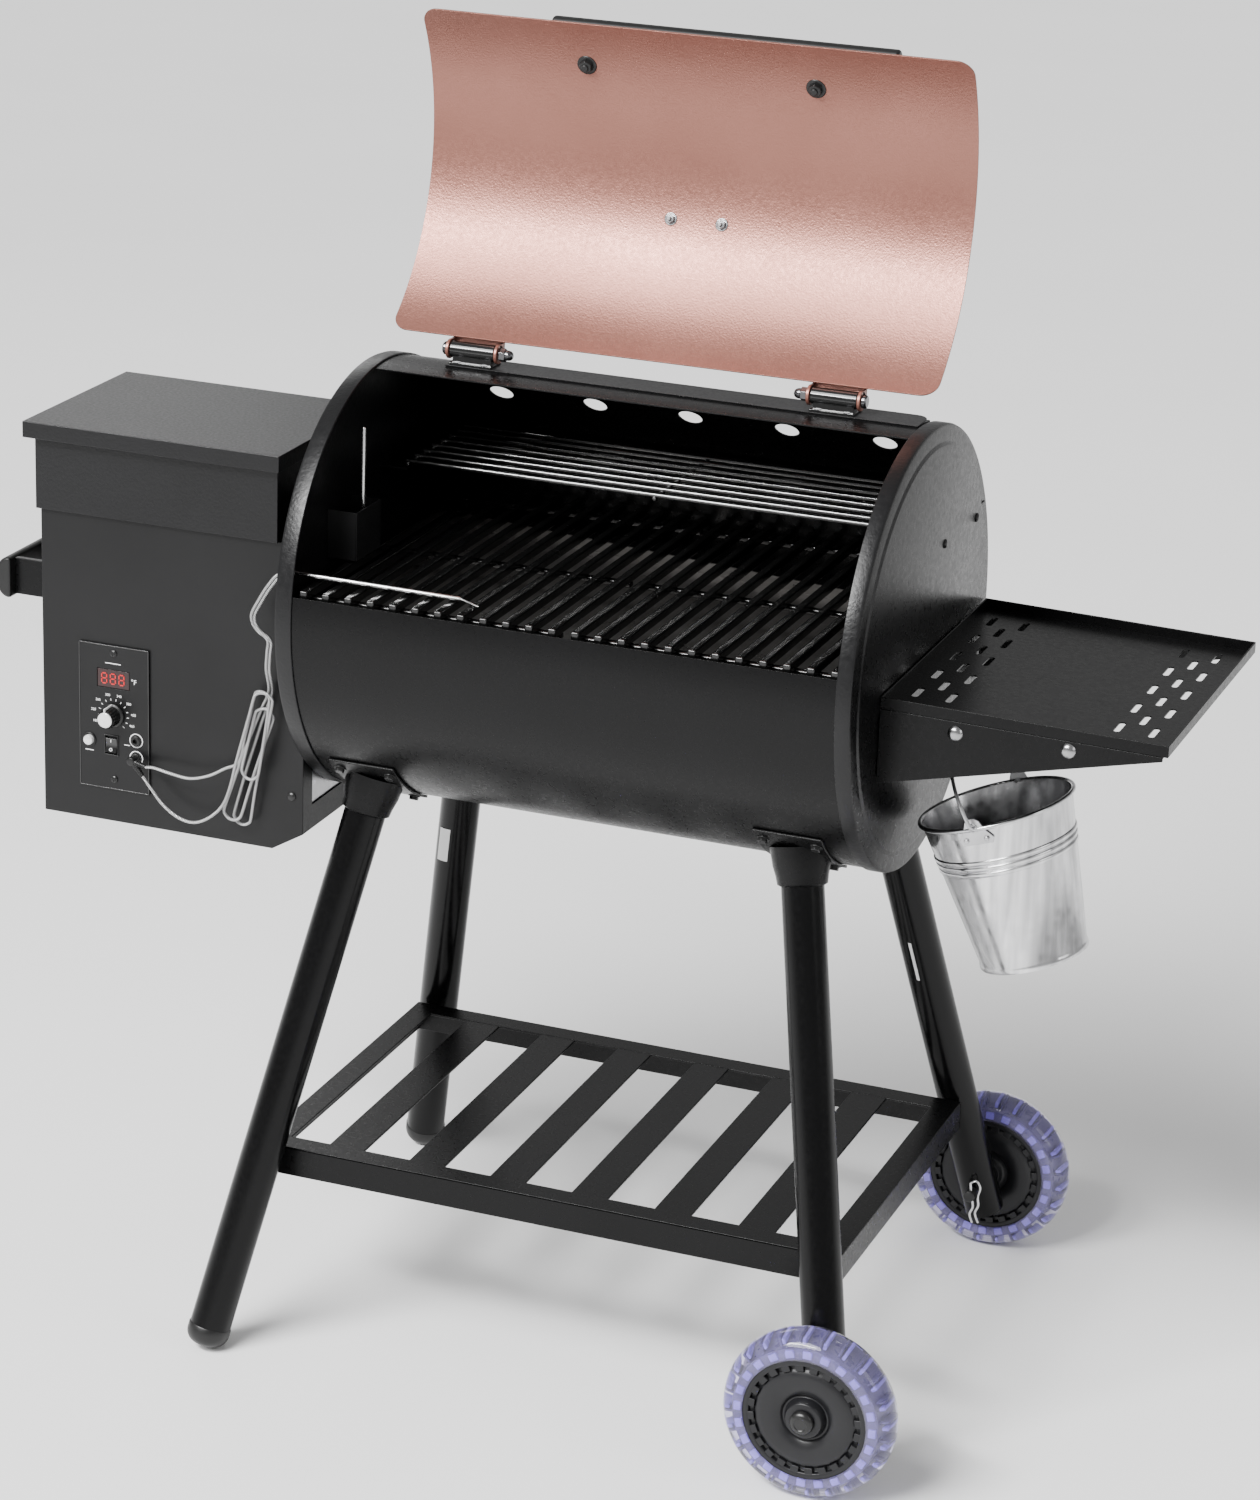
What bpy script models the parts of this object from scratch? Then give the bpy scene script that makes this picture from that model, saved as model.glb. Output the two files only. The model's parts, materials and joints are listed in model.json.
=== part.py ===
"""Wood pellet smoker grill on a wheeled stand, lid open. Metres, +Z up, front towards -Y."""

import math

import bmesh
import bpy
from mathutils import Matrix, Vector

for item in list(bpy.data.objects):
    bpy.data.objects.remove(item, do_unlink=True)

MM = 0.001
GAP = 0.3

# Sizes are in millimetres. x runs from the barrel's left inner edge, y from its axis, z from the floor.
X_ORIGIN = 230.0
AXIS_Z = 734.7
BARREL_LENGTH = 535.0
SHELL_R = 210.3
SHEET = 1.5
CAP_R = 212.1
ROUND_STEPS = 40
CAP_LEFT = 17.75
CAP_RIGHT = 15.4
LIP_ANGLE = 171.9
BAND_ANGLE = 97.8
VENT_ANGLE = 46.6
VENT_R = 12.0
VENT_PITCH = 99.65

HINGE_Y = 15.3
HINGE_Z = 959.9
LID_R = 216.4
LID_CENTRE_Y = -102.7
LID_CENTRE_Z = 1151.9
LID_LOW_ANGLE = -56.3
LID_HIGH_ANGLE = 33.4
LID_X0 = -4.5
LID_X1 = 543.5
LID_CORNER = 17.0
HANDLE_STANDOFF = 66.0

GRATE_TOP = 770.0
GRATE_PITCH = 22.7
RACK_Z = 838.0

BODY_X0 = -299.0
BODY_X1 = -18.1
BODY_Y0 = -143.4
BODY_Y1 = 38.0
BODY_Z0 = 483.5
BODY_Z1 = 794.5
COLLAR_X0 = -301.5
COLLAR_X1 = -44.0
COLLAR_Y0 = -149.0
COLLAR_Y1 = 44.0
COLLAR_FLANGE = 7.0
HOPPER_LID_Z = 883.0
HOPPER_HINGE_Y = 57.6
HOPPER_HINGE_Z = 867.0
LID_KNUCKLES = (-270.0, -115.0)

LEG_R = 20.3
LEG_TOP_X = (44.0, 481.0)
LEG_TOP_Y = 119.5
LEG_TOP_Z = 553.0
LEG_SPLAY_X = 0.193
LEG_SPLAY_Y = 0.2685
SADDLE_ANGLES = (223.0, 250.0)

WHEEL_R = 83.5
WHEEL_Y = 291.0
AXLE_Z = WHEEL_R
AXLE_X = LEG_TOP_X[1] + LEG_SPLAY_X * (LEG_TOP_Z - AXLE_Z)

SHELF_X0 = -40.0
SHELF_X1 = 562.0
SHELF_Y = 193.8
SHELF_TOP = 195.4

TRAY_X0 = 553.2
TRAY_X1 = 822.0
TRAY_Y0 = -134.6
TRAY_Y1 = 198.6
TRAY_TOP = 729.2
TRAY_DROOP = 0.02
SLOT_HALF = 14.0
SLOT_WIDTH = 6.0

BUCKET_X = 631.0
BUCKET_Z = 594.7
BUCKET_TILT = 18.0
BAIL_TILT = 30.0
BAIL_LENGTH = 78.0
BUCKET_R = 73.0
BUCKET_BASE_R = 51.0
BUCKET_H = 153.0
LUG_Y = 76.5

AUGER_Z = 566.0

PLUG_X = -196.4
PLUG_Z = 554.2
PANEL_BACK = BODY_Y0 - GAP
PANEL_FRONT = PANEL_BACK - 2.0

PALETTE = {
    "powder_black": ((0.03, 0.03, 0.032, 1), 0.55, 0.3),
    "powder_copper": ((0.56, 0.3, 0.22, 1), 0.5, 0.5),
    "black_steel": ((0.02, 0.02, 0.022, 1), 0.4, 0.6),
    "cast_black": ((0.025, 0.025, 0.025, 1), 0.65, 0.2),
    "stainless": ((0.72, 0.72, 0.72, 1), 0.25, 1.0),
    "galvanised": ((0.6, 0.61, 0.62, 1), 0.4, 0.9),
    "chrome": ((0.55, 0.55, 0.57, 1), 0.12, 1.0),
    "silver_plastic": ((0.8, 0.8, 0.8, 1), 0.3, 0.4),
    "black_plastic": ((0.02, 0.02, 0.02, 1), 0.45, 0.0),
    "dark_hub": ((0.09, 0.09, 0.1, 1), 0.5, 0.0),
    "violet_tyre": ((0.42, 0.36, 0.72, 1), 0.2, 0.0),
    "red_display": ((0.5, 0.01, 0.01, 1), 0.2, 0.0),
    "braid": ((0.7, 0.7, 0.7, 1), 0.35, 0.9),
}


def point(x, y, z):
    """Places a point measured from the barrel in the object's own frame."""
    return Vector(((x - X_ORIGIN) * MM, y * MM, z * MM))


def material(name):
    found = bpy.data.materials.get(name)
    if found:
        return found
    colour, roughness, metallic = PALETTE[name]
    made = bpy.data.materials.new(name)
    made.use_nodes = True
    shader = made.node_tree.nodes["Principled BSDF"]
    shader.inputs["Base Color"].default_value = colour
    shader.inputs["Roughness"].default_value = roughness
    shader.inputs["Metallic"].default_value = metallic
    made.diffuse_color = colour
    return made


def finish(name, bm, slot, smooth=False, origin=None):
    """Turns a bmesh into an object with one material, shaded smooth where round."""
    bmesh.ops.recalc_face_normals(bm, faces=bm.faces)
    mesh = bpy.data.meshes.new(name)
    place = Vector(origin) if origin else Vector((0, 0, 0))
    bmesh.ops.translate(bm, vec=-place, verts=bm.verts)
    bm.to_mesh(mesh)
    bm.free()
    obj = bpy.data.objects.new(name, mesh)
    obj.location = place
    bpy.context.scene.collection.objects.link(obj)
    mesh.materials.append(material(slot))
    if smooth:
        mesh.shade_smooth()
        mesh.set_sharp_from_angle(angle=math.radians(32))
    return obj


def use_boolean(obj, bm, operation):
    """Cuts a helper shape from an object, or joins it on."""
    helper = finish(obj.name + "_helper", bm, "black_steel")
    helper.hide_render = True
    helper.display_type = "WIRE"
    modifier = obj.modifiers.new(operation.lower(), "BOOLEAN")
    modifier.operation = operation
    modifier.solver = "EXACT"
    modifier.object = helper
    return obj


def cut(obj, bm):
    return use_boolean(obj, bm, "DIFFERENCE")


def join(obj, bm):
    return use_boolean(obj, bm, "UNION")


def block(x0, x1, y0, y1, z0, z1):
    bm = bmesh.new()
    bmesh.ops.create_cube(bm, size=1.0)
    low = point(x0, y0, z0)
    high = point(x1, y1, z1)
    for vert in bm.verts:
        vert.co = Vector(low[i] if vert.co[i] < 0 else high[i] for i in range(3))
    return bm


def cells(xs, ys, zs, solid, shear=None):
    """A body made of box cells on a grid; solid(i, j, k) says which cells are filled."""
    bm = bmesh.new()
    corners = {}
    nx, ny, nz = len(xs) - 1, len(ys) - 1, len(zs) - 1

    def corner(i, j, k):
        key = (i, j, k)
        if key not in corners:
            x, y, z = xs[i], ys[j], zs[k]
            if shear:
                x, y, z = shear(x, y, z)
            corners[key] = bm.verts.new(point(x, y, z))
        return corners[key]

    def filled(i, j, k):
        inside = 0 <= i < nx and 0 <= j < ny and 0 <= k < nz
        return inside and solid(i, j, k)

    for i in range(nx):
        for j in range(ny):
            for k in range(nz):
                if not filled(i, j, k):
                    continue
                for axis in range(3):
                    for side in (0, 1):
                        step = [0, 0, 0]
                        step[axis] = 1 if side else -1
                        if filled(i + step[0], j + step[1], k + step[2]):
                            continue
                        loop = []
                        for u, v in ((0, 0), (1, 0), (1, 1), (0, 1)):
                            offset = [0, 0, 0]
                            offset[axis] = side
                            offset[(axis + 1) % 3] = u
                            offset[(axis + 2) % 3] = v
                            loop.append(corner(i + offset[0], j + offset[1], k + offset[2]))
                        if not side:
                            loop.reverse()
                        bm.faces.new(loop)
    bmesh.ops.dissolve_limit(bm, angle_limit=0.001, verts=bm.verts, edges=bm.edges)
    return bm


def frame_to(origin, axis, across=None):
    """Matrix whose Z runs along axis and whose X is as near to across as it can be."""
    z = Vector(axis).normalized()
    guess = Vector(across) if across else Vector((0, 0, 1))
    if abs(z.dot(guess.normalized())) > 0.999:
        guess = Vector((1, 0, 0))
    x = (guess - z * guess.dot(z)).normalized()
    y = z.cross(x)
    turn = Matrix((x, y, z)).transposed().to_4x4()
    return Matrix.Translation(origin) @ turn


def lathe(profile, origin, axis, steps, across=None):
    """Closed profile of (radius, height) in millimetres, turned once about an axis.

    A radius of zero closes the ring before or after it with one flat face.
    """
    bm = bmesh.new()
    place = frame_to(origin, axis, across)
    rings = []
    for radius, height in profile:
        ring = []
        for step in range(steps if radius else 0):
            angle = 2 * math.pi * step / steps
            spot = Vector((radius * math.cos(angle), radius * math.sin(angle), height)) * MM
            ring.append(bm.verts.new(place @ spot))
        rings.append(ring)
    for first, second in zip(rings, rings[1:] + rings[:1]):
        if not first and not second:
            continue
        if not first or not second:
            bm.faces.new(first or second)
            continue
        for step in range(steps):
            after = (step + 1) % steps
            bm.faces.new((first[step], first[after], second[after], second[step]))
    return bm


def rod(start, end, radius, sides=16, across=None):
    direction = Vector(end) - Vector(start)
    length = direction.length / MM
    profile = [(0, 0), (radius, 0), (radius, length), (0, length)]
    return lathe(profile, start, direction, sides, across)


def pipe(start, end, outer, inner, sides=24, across=None):
    direction = Vector(end) - Vector(start)
    length = direction.length / MM
    profile = [(inner, 0), (outer, 0), (outer, length), (inner, length)]
    return lathe(profile, start, direction, sides, across)


def prism(outline, low, high, plane):
    """Extrudes an outline. plane gives the two axes it lies in; low and high are on the third."""
    bm = bmesh.new()
    bottom = []
    top = []
    for a, b in outline:
        if plane == "xz":
            bottom.append(bm.verts.new(point(a, low, b)))
            top.append(bm.verts.new(point(a, high, b)))
        elif plane == "yz":
            bottom.append(bm.verts.new(point(low, a, b)))
            top.append(bm.verts.new(point(high, a, b)))
        else:
            bottom.append(bm.verts.new(point(a, b, low)))
            top.append(bm.verts.new(point(a, b, high)))
    bm.faces.new(bottom)
    bm.faces.new(list(reversed(top)))
    for i in range(len(outline)):
        j = (i + 1) % len(outline)
        bm.faces.new((bottom[i], top[i], top[j], bottom[j]))
    return bm


def sweep(path, radius, sides=12, closed_ends=True):
    """A round rod along a list of points, with flat ends."""
    bm = bmesh.new()
    rings = []
    across = None
    for i, spot in enumerate(path):
        before = path[max(i - 1, 0)]
        after = path[min(i + 1, len(path) - 1)]
        along = (after - before).normalized()
        if across is None:
            across = along.orthogonal().normalized()
        across = (across - along * across.dot(along)).normalized()
        other = along.cross(across)
        ring = []
        for step in range(sides):
            angle = 2 * math.pi * step / sides
            out = across * math.cos(angle) + other * math.sin(angle)
            ring.append(bm.verts.new(spot + out * radius * MM))
        rings.append(ring)
    for first, second in zip(rings, rings[1:]):
        for step in range(sides):
            after = (step + 1) % sides
            bm.faces.new((first[step], first[after], second[after], second[step]))
    bm.faces.new(list(reversed(rings[0])))
    bm.faces.new(rings[-1])
    return bm


def on_circle(radius, degrees, centre_y=0.0, centre_z=AXIS_Z):
    angle = math.radians(degrees)
    return centre_y + radius * math.cos(angle), centre_z + radius * math.sin(angle)


def arc_sheet(x0, x1, inner, outer, low, high, steps, centre_y=0.0, centre_z=AXIS_Z):
    """Curved sheet between two radii and two angles."""
    outline = []
    for step in range(steps + 1):
        outline.append(on_circle(outer, low + (high - low) * step / steps, centre_y, centre_z))
    for step in range(steps, -1, -1):
        outline.append(on_circle(inner, low + (high - low) * step / steps, centre_y, centre_z))
    bm = bmesh.new()
    left = [bm.verts.new(point(x0, y, z)) for y, z in outline]
    right = [bm.verts.new(point(x1, y, z)) for y, z in outline]
    count = len(outline)
    for i in range(count):
        j = (i + 1) % count
        bm.faces.new((left[i], left[j], right[j], right[i]))
    for i in range(steps):
        mirror = count - 1 - i
        for side in (left, right):
            bm.faces.new((side[i], side[i + 1], side[mirror - 1], side[mirror]))
    return bm


def barrel_shell():
    shell = arc_sheet(
        -CAP_LEFT + SHEET + GAP,
        BARREL_LENGTH + CAP_RIGHT - SHEET - GAP,
        SHELL_R - SHEET,
        SHELL_R,
        LIP_ANGLE,
        360 + BAND_ANGLE,
        32,
    )
    shell = finish("barrel_shell", shell, "powder_black", smooth=True)
    centre = point(0, 0, AXIS_Z)
    for i in range(5):
        y, z = on_circle(SHELL_R, VENT_ANGLE)
        x = 60.3 + i * VENT_PITCH
        middle = point(x, y, z)
        out = (middle - centre)
        out.x = 0
        out.normalize()
        cut(shell, rod(middle - out * 0.02, middle + out * 0.02, VENT_R, 16, (1, 0, 0)))
    for y0, y1 in ((-208.6, -190.0), (190.0, 208.6)):
        join(shell, block(4, 531, y0, y1, 753.5, 755.0))
    strip = [(2, 946.9), (2, 944.2), (21.5, 943.1), (41, 940.2), (41, 946.9)]
    join(shell, prism(strip, 60, 533, "yz"))
    return shell


def end_cap_left():
    profile = [
        (CAP_R - SHEET, CAP_LEFT),
        (CAP_R, CAP_LEFT),
        (CAP_R, 2),
        (CAP_R - 2, 0),
        (0, 0),
        (0, SHEET),
        (CAP_R - SHEET, SHEET),
    ]
    cap = lathe(profile, point(-CAP_LEFT, 0, AXIS_Z), (1, 0, 0), ROUND_STEPS, (0, 1, 0))
    cap = finish("end_cap_left", cap, "powder_black", smooth=True)
    cut(cap, rod(point(-30, 0, AUGER_Z), point(0, 0, AUGER_Z), 25.8, 24))
    cut(cap, rod(point(-30, -178, 778), point(0, -178, 778), 5.2, 12))
    join(cap, block(-CAP_LEFT + 0.5, 12, 24, 180, RACK_Z - 7.5, RACK_Z - 5.5))
    join(cap, block(-CAP_LEFT + 0.5, 10, -60, 60, 729.0, 731.8))
    return cap


def end_cap_right():
    depth = CAP_RIGHT
    profile = [
        (CAP_R - SHEET, 0),
        (CAP_R, 0),
        (CAP_R, depth - 2),
        (CAP_R - 2, depth),
        (199, depth),
        (193, depth + 1.9),
        (0, depth + 1.9),
        (0, depth + 0.4),
        (193, depth + 0.4),
        (199, depth - SHEET),
        (CAP_R - SHEET, depth - SHEET),
    ]
    cap = lathe(profile, point(BARREL_LENGTH, 0, AXIS_Z), (1, 0, 0), ROUND_STEPS, (0, 1, 0))
    cap = finish("end_cap_right", cap, "powder_black", smooth=True)
    cut(cap, rod(point(530, 0, 652), point(570, 0, 652), 12.6, 18))
    for y, z in ((150.7, 823.2), (47.6, 824.8)):
        cut(cap, rod(point(540, y, z), point(570, y, z), 3.5, 8))
    join(cap, block(523, BARREL_LENGTH + depth + 1, 24, 180, RACK_Z - 7.5, RACK_Z - 5.5))
    join(cap, block(521, BARREL_LENGTH + depth + 1, -60, 60, 700.5, 703.5))
    return cap


def lid_sheet():
    """Curved lid with rounded corners, built flat and rolled to its radius."""
    steps = 22
    half = LID_R * math.radians(LID_HIGH_ANGLE - LID_LOW_ANGLE) / 2
    outline = []
    centre_x = (LID_X0 + LID_X1) / 2
    reach = (LID_X1 - LID_X0) / 2
    stops = [half * (2 * i / steps - 1) for i in range(steps + 1)]
    rounding = [LID_CORNER * (1 - math.cos(math.radians(a))) for a in (0, 22.5, 45, 67.5, 90)]
    stops += [-half + r for r in rounding] + [half - r for r in rounding]
    stops = sorted(stops)
    merged = [stops[0]]
    for stop in stops[1:]:
        if stop - merged[-1] > 0.8:
            merged.append(stop)
    merged[-1] = half
    widths = []
    for stop in merged:
        depth = LID_CORNER - (half - abs(stop))
        shrink = 0.0
        if depth > 0:
            shrink = LID_CORNER - math.sqrt(max(LID_CORNER ** 2 - depth ** 2, 0))
        widths.append(reach - shrink)
    bm = bmesh.new()
    rows = []
    middle = (LID_LOW_ANGLE + LID_HIGH_ANGLE) / 2
    for stop, width in zip(merged, widths):
        angle = middle + math.degrees(stop / LID_R)
        row = []
        for radius in (LID_R - SHEET / 2, LID_R + SHEET / 2):
            y, z = on_circle(radius, angle, LID_CENTRE_Y, LID_CENTRE_Z)
            row.append(bm.verts.new(point(centre_x - width, y, z)))
            row.append(bm.verts.new(point(centre_x + width, y, z)))
        rows.append(row)
    for a, b in zip(rows, rows[1:]):
        bm.faces.new((a[0], a[1], b[1], b[0]))
        bm.faces.new((a[2], b[2], b[3], a[3]))
        bm.faces.new((a[0], b[0], b[2], a[2]))
        bm.faces.new((a[1], a[3], b[3], b[1]))
    for row in (rows[0], rows[-1]):
        bm.faces.new((row[0], row[2], row[3], row[1]))
    return finish("lid", bm, "powder_copper", smooth=True, origin=point(BARREL_LENGTH / 2, HINGE_Y, HINGE_Z))


def lid_point(x, radius, angle):
    y, z = on_circle(radius, angle, LID_CENTRE_Y, LID_CENTRE_Z)
    return point(x, y, z)


def lid_handle():
    """Round bar on two posts, with the heads of its bolts inside the lid."""
    reach = LID_R + HANDLE_STANDOFF
    angle = 20.8
    bar = rod(lid_point(98, reach, angle), lid_point(448, reach, angle), 8.5, 16)
    bar = finish("lid_handle", bar, "black_plastic", smooth=True)
    for x in (158.4, 387.3):
        base = lid_point(x, LID_R + SHEET / 2 + GAP, angle)
        top = lid_point(x, reach - 2, angle)
        join(bar, rod(base, top, 7.0, 12))
    return bar


def nameplate():
    """Blank oval plate on the lid's outside."""
    base = lid_point(272.4, LID_R + SHEET / 2 + 1.0, -16.9)
    outward = base - lid_point(272.4, LID_R - 50, -16.9)
    outward.normalize()
    bm = bmesh.new()
    turn = frame_to(base, outward, (1, 0, 0))
    rings = ([], [])
    for step in range(32):
        angle = 2 * math.pi * step / 32
        for level in (0, 1):
            spot = Vector((48 * math.cos(angle), 14 * math.sin(angle), level * 2.0)) * MM
            rings[level].append(bm.verts.new(turn @ spot))
    bm.faces.new(list(reversed(rings[0])))
    bm.faces.new(rings[1])
    for step in range(32):
        after = (step + 1) % 32
        bm.faces.new((rings[0][step], rings[0][after], rings[1][after], rings[1][step]))
    return finish("nameplate", bm, "stainless", smooth=True)


def hinge_base(name, x0, flip):
    """Knuckle tube on a foot, its pin through both ends, and a stop plate at the right."""
    x1 = x0 + 46
    pin_start = x0 - 11 if flip else x0 - 7
    knuckle = rod(point(pin_start, HINGE_Y, HINGE_Z), point(x1 + 11, HINGE_Y, HINGE_Z), 3.0, 12)
    base = finish(name, knuckle, "chrome", smooth=True)
    join(base, rod(point(x0, HINGE_Y, HINGE_Z), point(x1, HINGE_Y, HINGE_Z), 8.0, 16))
    join(base, block(x0 + 3, x1 - 3, HINGE_Y - 6, HINGE_Y + 6, 948.2, HINGE_Z - 3))
    join(base, block(x0 + 1, x1 - 1, HINGE_Y - 11, HINGE_Y + 14, 947.3, 949.3))
    nut = rod(point(x1 + 4, HINGE_Y, HINGE_Z), point(x1 + 10, HINGE_Y, HINGE_Z), 6.5, 6)
    head = rod(point(x0 - 10, HINGE_Y, HINGE_Z), point(x0 - 4, HINGE_Y, HINGE_Z), 6.0, 6)
    join(base, nut)
    join(base, head)
    if flip:
        join(base, rod(point(x0 - 17, HINGE_Y, HINGE_Z), point(x0 - 8, HINGE_Y, HINGE_Z), 4.2, 12))
    else:
        join(base, rod(point(x1 + 8, HINGE_Y, HINGE_Z), point(x1 + 13, HINGE_Y, HINGE_Z), 4.2, 12))
    return base


def hinge_leaf(name, x0):
    """Lid half of a hinge: two ears on the pin and a plate up to the lid's back."""
    x1 = x0 + 46
    back = LID_R + SHEET / 2 + GAP
    outline = [(HINGE_Y + 12.0, HINGE_Z + 0.5), (HINGE_Y + 9.5, HINGE_Z + 1.0)]
    for degrees in (-53.0, -50.0, -46.5):
        outline.append(on_circle(back, degrees, LID_CENTRE_Y, LID_CENTRE_Z))
    for degrees in (-46.5, -50.0, -52.6):
        outline.append(on_circle(back + 2.2, degrees, LID_CENTRE_Y, LID_CENTRE_Z))
    leaf = prism(outline, x0 - 3.4, x1 + 3.4, "yz")
    leaf = finish(name, leaf, "powder_copper", origin=point((x0 + x1) / 2, HINGE_Y, HINGE_Z))
    for low, high in ((x0 - 3.4, x0 - 0.4), (x1 + 0.4, x1 + 3.4)):
        ear = rod(point(low, HINGE_Y, HINGE_Z), point(high, HINGE_Y, HINGE_Z), 9.5, 16)
        join(leaf, ear)
        join(leaf, block(low, high, HINGE_Y, HINGE_Y + 12.0, HINGE_Z - 3, HINGE_Z + 9))
        cut(leaf, rod(point(low - 1, HINGE_Y, HINGE_Z), point(high + 1, HINGE_Y, HINGE_Z), 3.5, 12))
    return leaf


def grate(name, x_first):
    """Twelve flat bars over three cross bars."""
    xs = []
    for i in range(12):
        middle = x_first + i * GRATE_PITCH
        xs += [middle - 4, middle + 4]
    ys = [-203, -189, -181, -12, -4, 181, 189, 203]
    zs = [GRATE_TOP - 14, GRATE_TOP - 9, GRATE_TOP]

    def solid(i, j, k):
        if k == 1:
            return i % 2 == 0
        return j in (1, 3, 5)

    return finish(name, cells(xs, ys, zs, solid), "cast_black")


def warming_rack():
    """Eight wires on three cross wires."""
    xs = (10.0, 267.5, 525.0)
    y0, pitch = 31.0, 21.0
    rack = rod(point(xs[0] - 2, y0, RACK_Z), point(xs[2] + 2, y0, RACK_Z), 2.5, 6)
    rack = finish("warming_rack", rack, "stainless", smooth=True)
    for i in range(1, 8):
        y = y0 + i * pitch
        if i == 7:
            y = y0 + i * pitch - 2
        join(rack, rod(point(xs[0] - 2, y, RACK_Z), point(xs[2] + 2, y, RACK_Z), 2.5, 6))
    for x in xs:
        join(rack, rod(point(x, y0 - 3, RACK_Z - 3.0), point(x, 177, RACK_Z - 3.0), 2.2, 6))
    return rack


def drip_tray():
    """Shallow tray under the grates, falling to the right, with a drain lip."""
    xs = [5, 7, 524, 526]
    ys = [-176, -174, 174, 176]
    zs = [0, 2, 14]

    def solid(i, j, k):
        return k == 0 or i in (0, 2) or j in (0, 2)

    def shear(x, y, z):
        return x, y, 733 - 0.055 * x + z

    tray = finish("drip_tray", cells(xs, ys, zs, solid, shear), "galvanised")
    cut(tray, rod(point(512, 0, 690), point(512, 0, 720), 8, 16))
    return tray


def heat_baffle():
    """Bent plate that spreads the fire's heat, standing on two feet."""
    xs = [168, 372]
    ys = [-62, -60.5, 60.5, 62]
    zs = [536.5, 643.5, 645]

    def solid(i, j, k):
        return k == 1 or j in (0, 2)

    return finish("heat_baffle", cells(xs, ys, zs, solid), "black_steel")


def fire_pot():
    centre = point(268, 0, 532)
    profile = [(0, 0), (44, 0), (44, 82), (42, 82), (42, 2), (0, 2)]
    pot = finish("fire_pot", lathe(profile, centre, (0, 0, 1), 28), "stainless", smooth=True)
    cut(pot, rod(point(210, 0, AUGER_Z), point(240, 0, AUGER_Z), 24, 16))
    join(pot, rod(point(268, 43, 548), point(268, 58, 549), 4, 12))
    return pot


def auger_tube():
    """Feed tube from the pellet bin to the fire pot, with its mounting flange."""
    tube = rod(point(-205, 0, AUGER_Z), point(222.5, 0, AUGER_Z), 24.5, 24)
    tube = finish("auger_tube", tube, "galvanised", smooth=True)
    join(tube, block(-21.6, -20.0, -128, 32, 520, 612))
    cut(tube, rod(point(-210, 0, AUGER_Z), point(230, 0, AUGER_Z), 22.5, 24))
    cut(tube, block(-142, -78, -16, 16, AUGER_Z + 10, AUGER_Z + 40))
    return tube


def auger_screw():
    """Helical flight on a core, fused by their overlap."""
    start, end = -196.0, 220.0
    core = rod(point(start - 4, 0, AUGER_Z), point(end, 0, AUGER_Z), 5.0, 12)
    screw = finish("auger_screw", core, "black_steel", smooth=True, origin=point(start, 0, AUGER_Z))
    turns, per_turn = 6, 10
    bm = bmesh.new()
    rows = []
    for step in range(turns * per_turn + 1):
        share = step / (turns * per_turn)
        angle = 2 * math.pi * turns * share
        x = start + 6 + (end - start - 12) * share
        row = []
        for radius, shift in ((4.0, -1.2), (20.5, -1.2), (20.5, 1.2), (4.0, 1.2)):
            y = radius * math.cos(angle)
            z = AUGER_Z + radius * math.sin(angle)
            row.append(bm.verts.new(point(x + shift, y, z)))
        rows.append(row)
    for a, b in zip(rows, rows[1:]):
        for i in range(4):
            j = (i + 1) % 4
            bm.faces.new((a[i], a[j], b[j], b[i]))
    bm.faces.new(list(reversed(rows[0])))
    bm.faces.new(rows[-1])
    join(screw, bm)
    return screw


def auger_motor():
    motor = finish("auger_motor", block(-262, -206, -26, 26, AUGER_Z - 30, AUGER_Z + 30), "black_steel")
    join(motor, rod(point(-290, 0, AUGER_Z), point(-260, 0, AUGER_Z), 18, 24))
    cut(motor, rod(point(-207, 0, AUGER_Z), point(-190, 0, AUGER_Z), 26, 24))
    cut(motor, rod(point(-212, 0, AUGER_Z), point(-190, 0, AUGER_Z), 5.4, 16))
    return motor


def blower_housing():
    """Snail housing that blows air along the feed tube."""
    profile = [(30, 0), (44, 0), (44, 34), (0, 34), (0, 32), (42, 32), (42, 2), (30, 2)]
    housing = lathe(profile, point(-110, -66, 540), (0, 1, 0), 24, (0, 0, 1))
    housing = finish("blower_housing", housing, "galvanised", smooth=True)
    cut(housing, block(-76, -56, -62, -36, 506, 528))
    duct = block(-70, -30, -63.5, -34.5, 499, 531)
    join(housing, duct)
    cut(housing, block(-80, -28, -62, -36, 501, 529))
    return housing


def blower_wheel():
    centre = point(-110, -60, 540)
    wheel = lathe([(0, 0), (36, 0), (36, 2), (0, 2)], centre, (0, 1, 0), 20, (0, 0, 1))
    wheel = finish("blower_wheel", wheel, "black_plastic", smooth=True, origin=centre)
    join(wheel, rod(centre, centre + Vector((0, 0.022, 0)), 6, 12))
    for i in range(8):
        angle = 2 * math.pi * i / 8
        blade = block(-1, 1, 0, 20, 10, 35)
        offset = point(0, 0, 0)
        bmesh.ops.translate(blade, vec=-offset, verts=blade.verts)
        bmesh.ops.rotate(blade, verts=blade.verts, cent=(0, 0, 0), matrix=Matrix.Rotation(angle, 3, "Y"))
        bmesh.ops.translate(blade, vec=centre, verts=blade.verts)
        join(wheel, blade)
    return wheel


def temperature_sensor():
    sensor = rod(point(8, -69, 774), point(8, -69, 896), 2.4, 12)
    sensor = finish("temperature_sensor", sensor, "stainless", smooth=True)
    join(sensor, rod(point(-15.8, -69, 790), point(8, -69, 790), 3.2, 12))
    return sensor


def sensor_guard():
    """Sheet channel around the sensor, its two flanges against the left end."""
    xs = [-15.7, 13.5, 15.0]
    ys = [-98.3, -96.8, -44.7, -43.2]
    zs = [771.5, 819.0]
    guard = cells(xs, ys, zs, lambda i, j, k: i == 1 or j in (0, 2))
    return finish("sensor_guard", guard, "black_steel")


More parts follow.
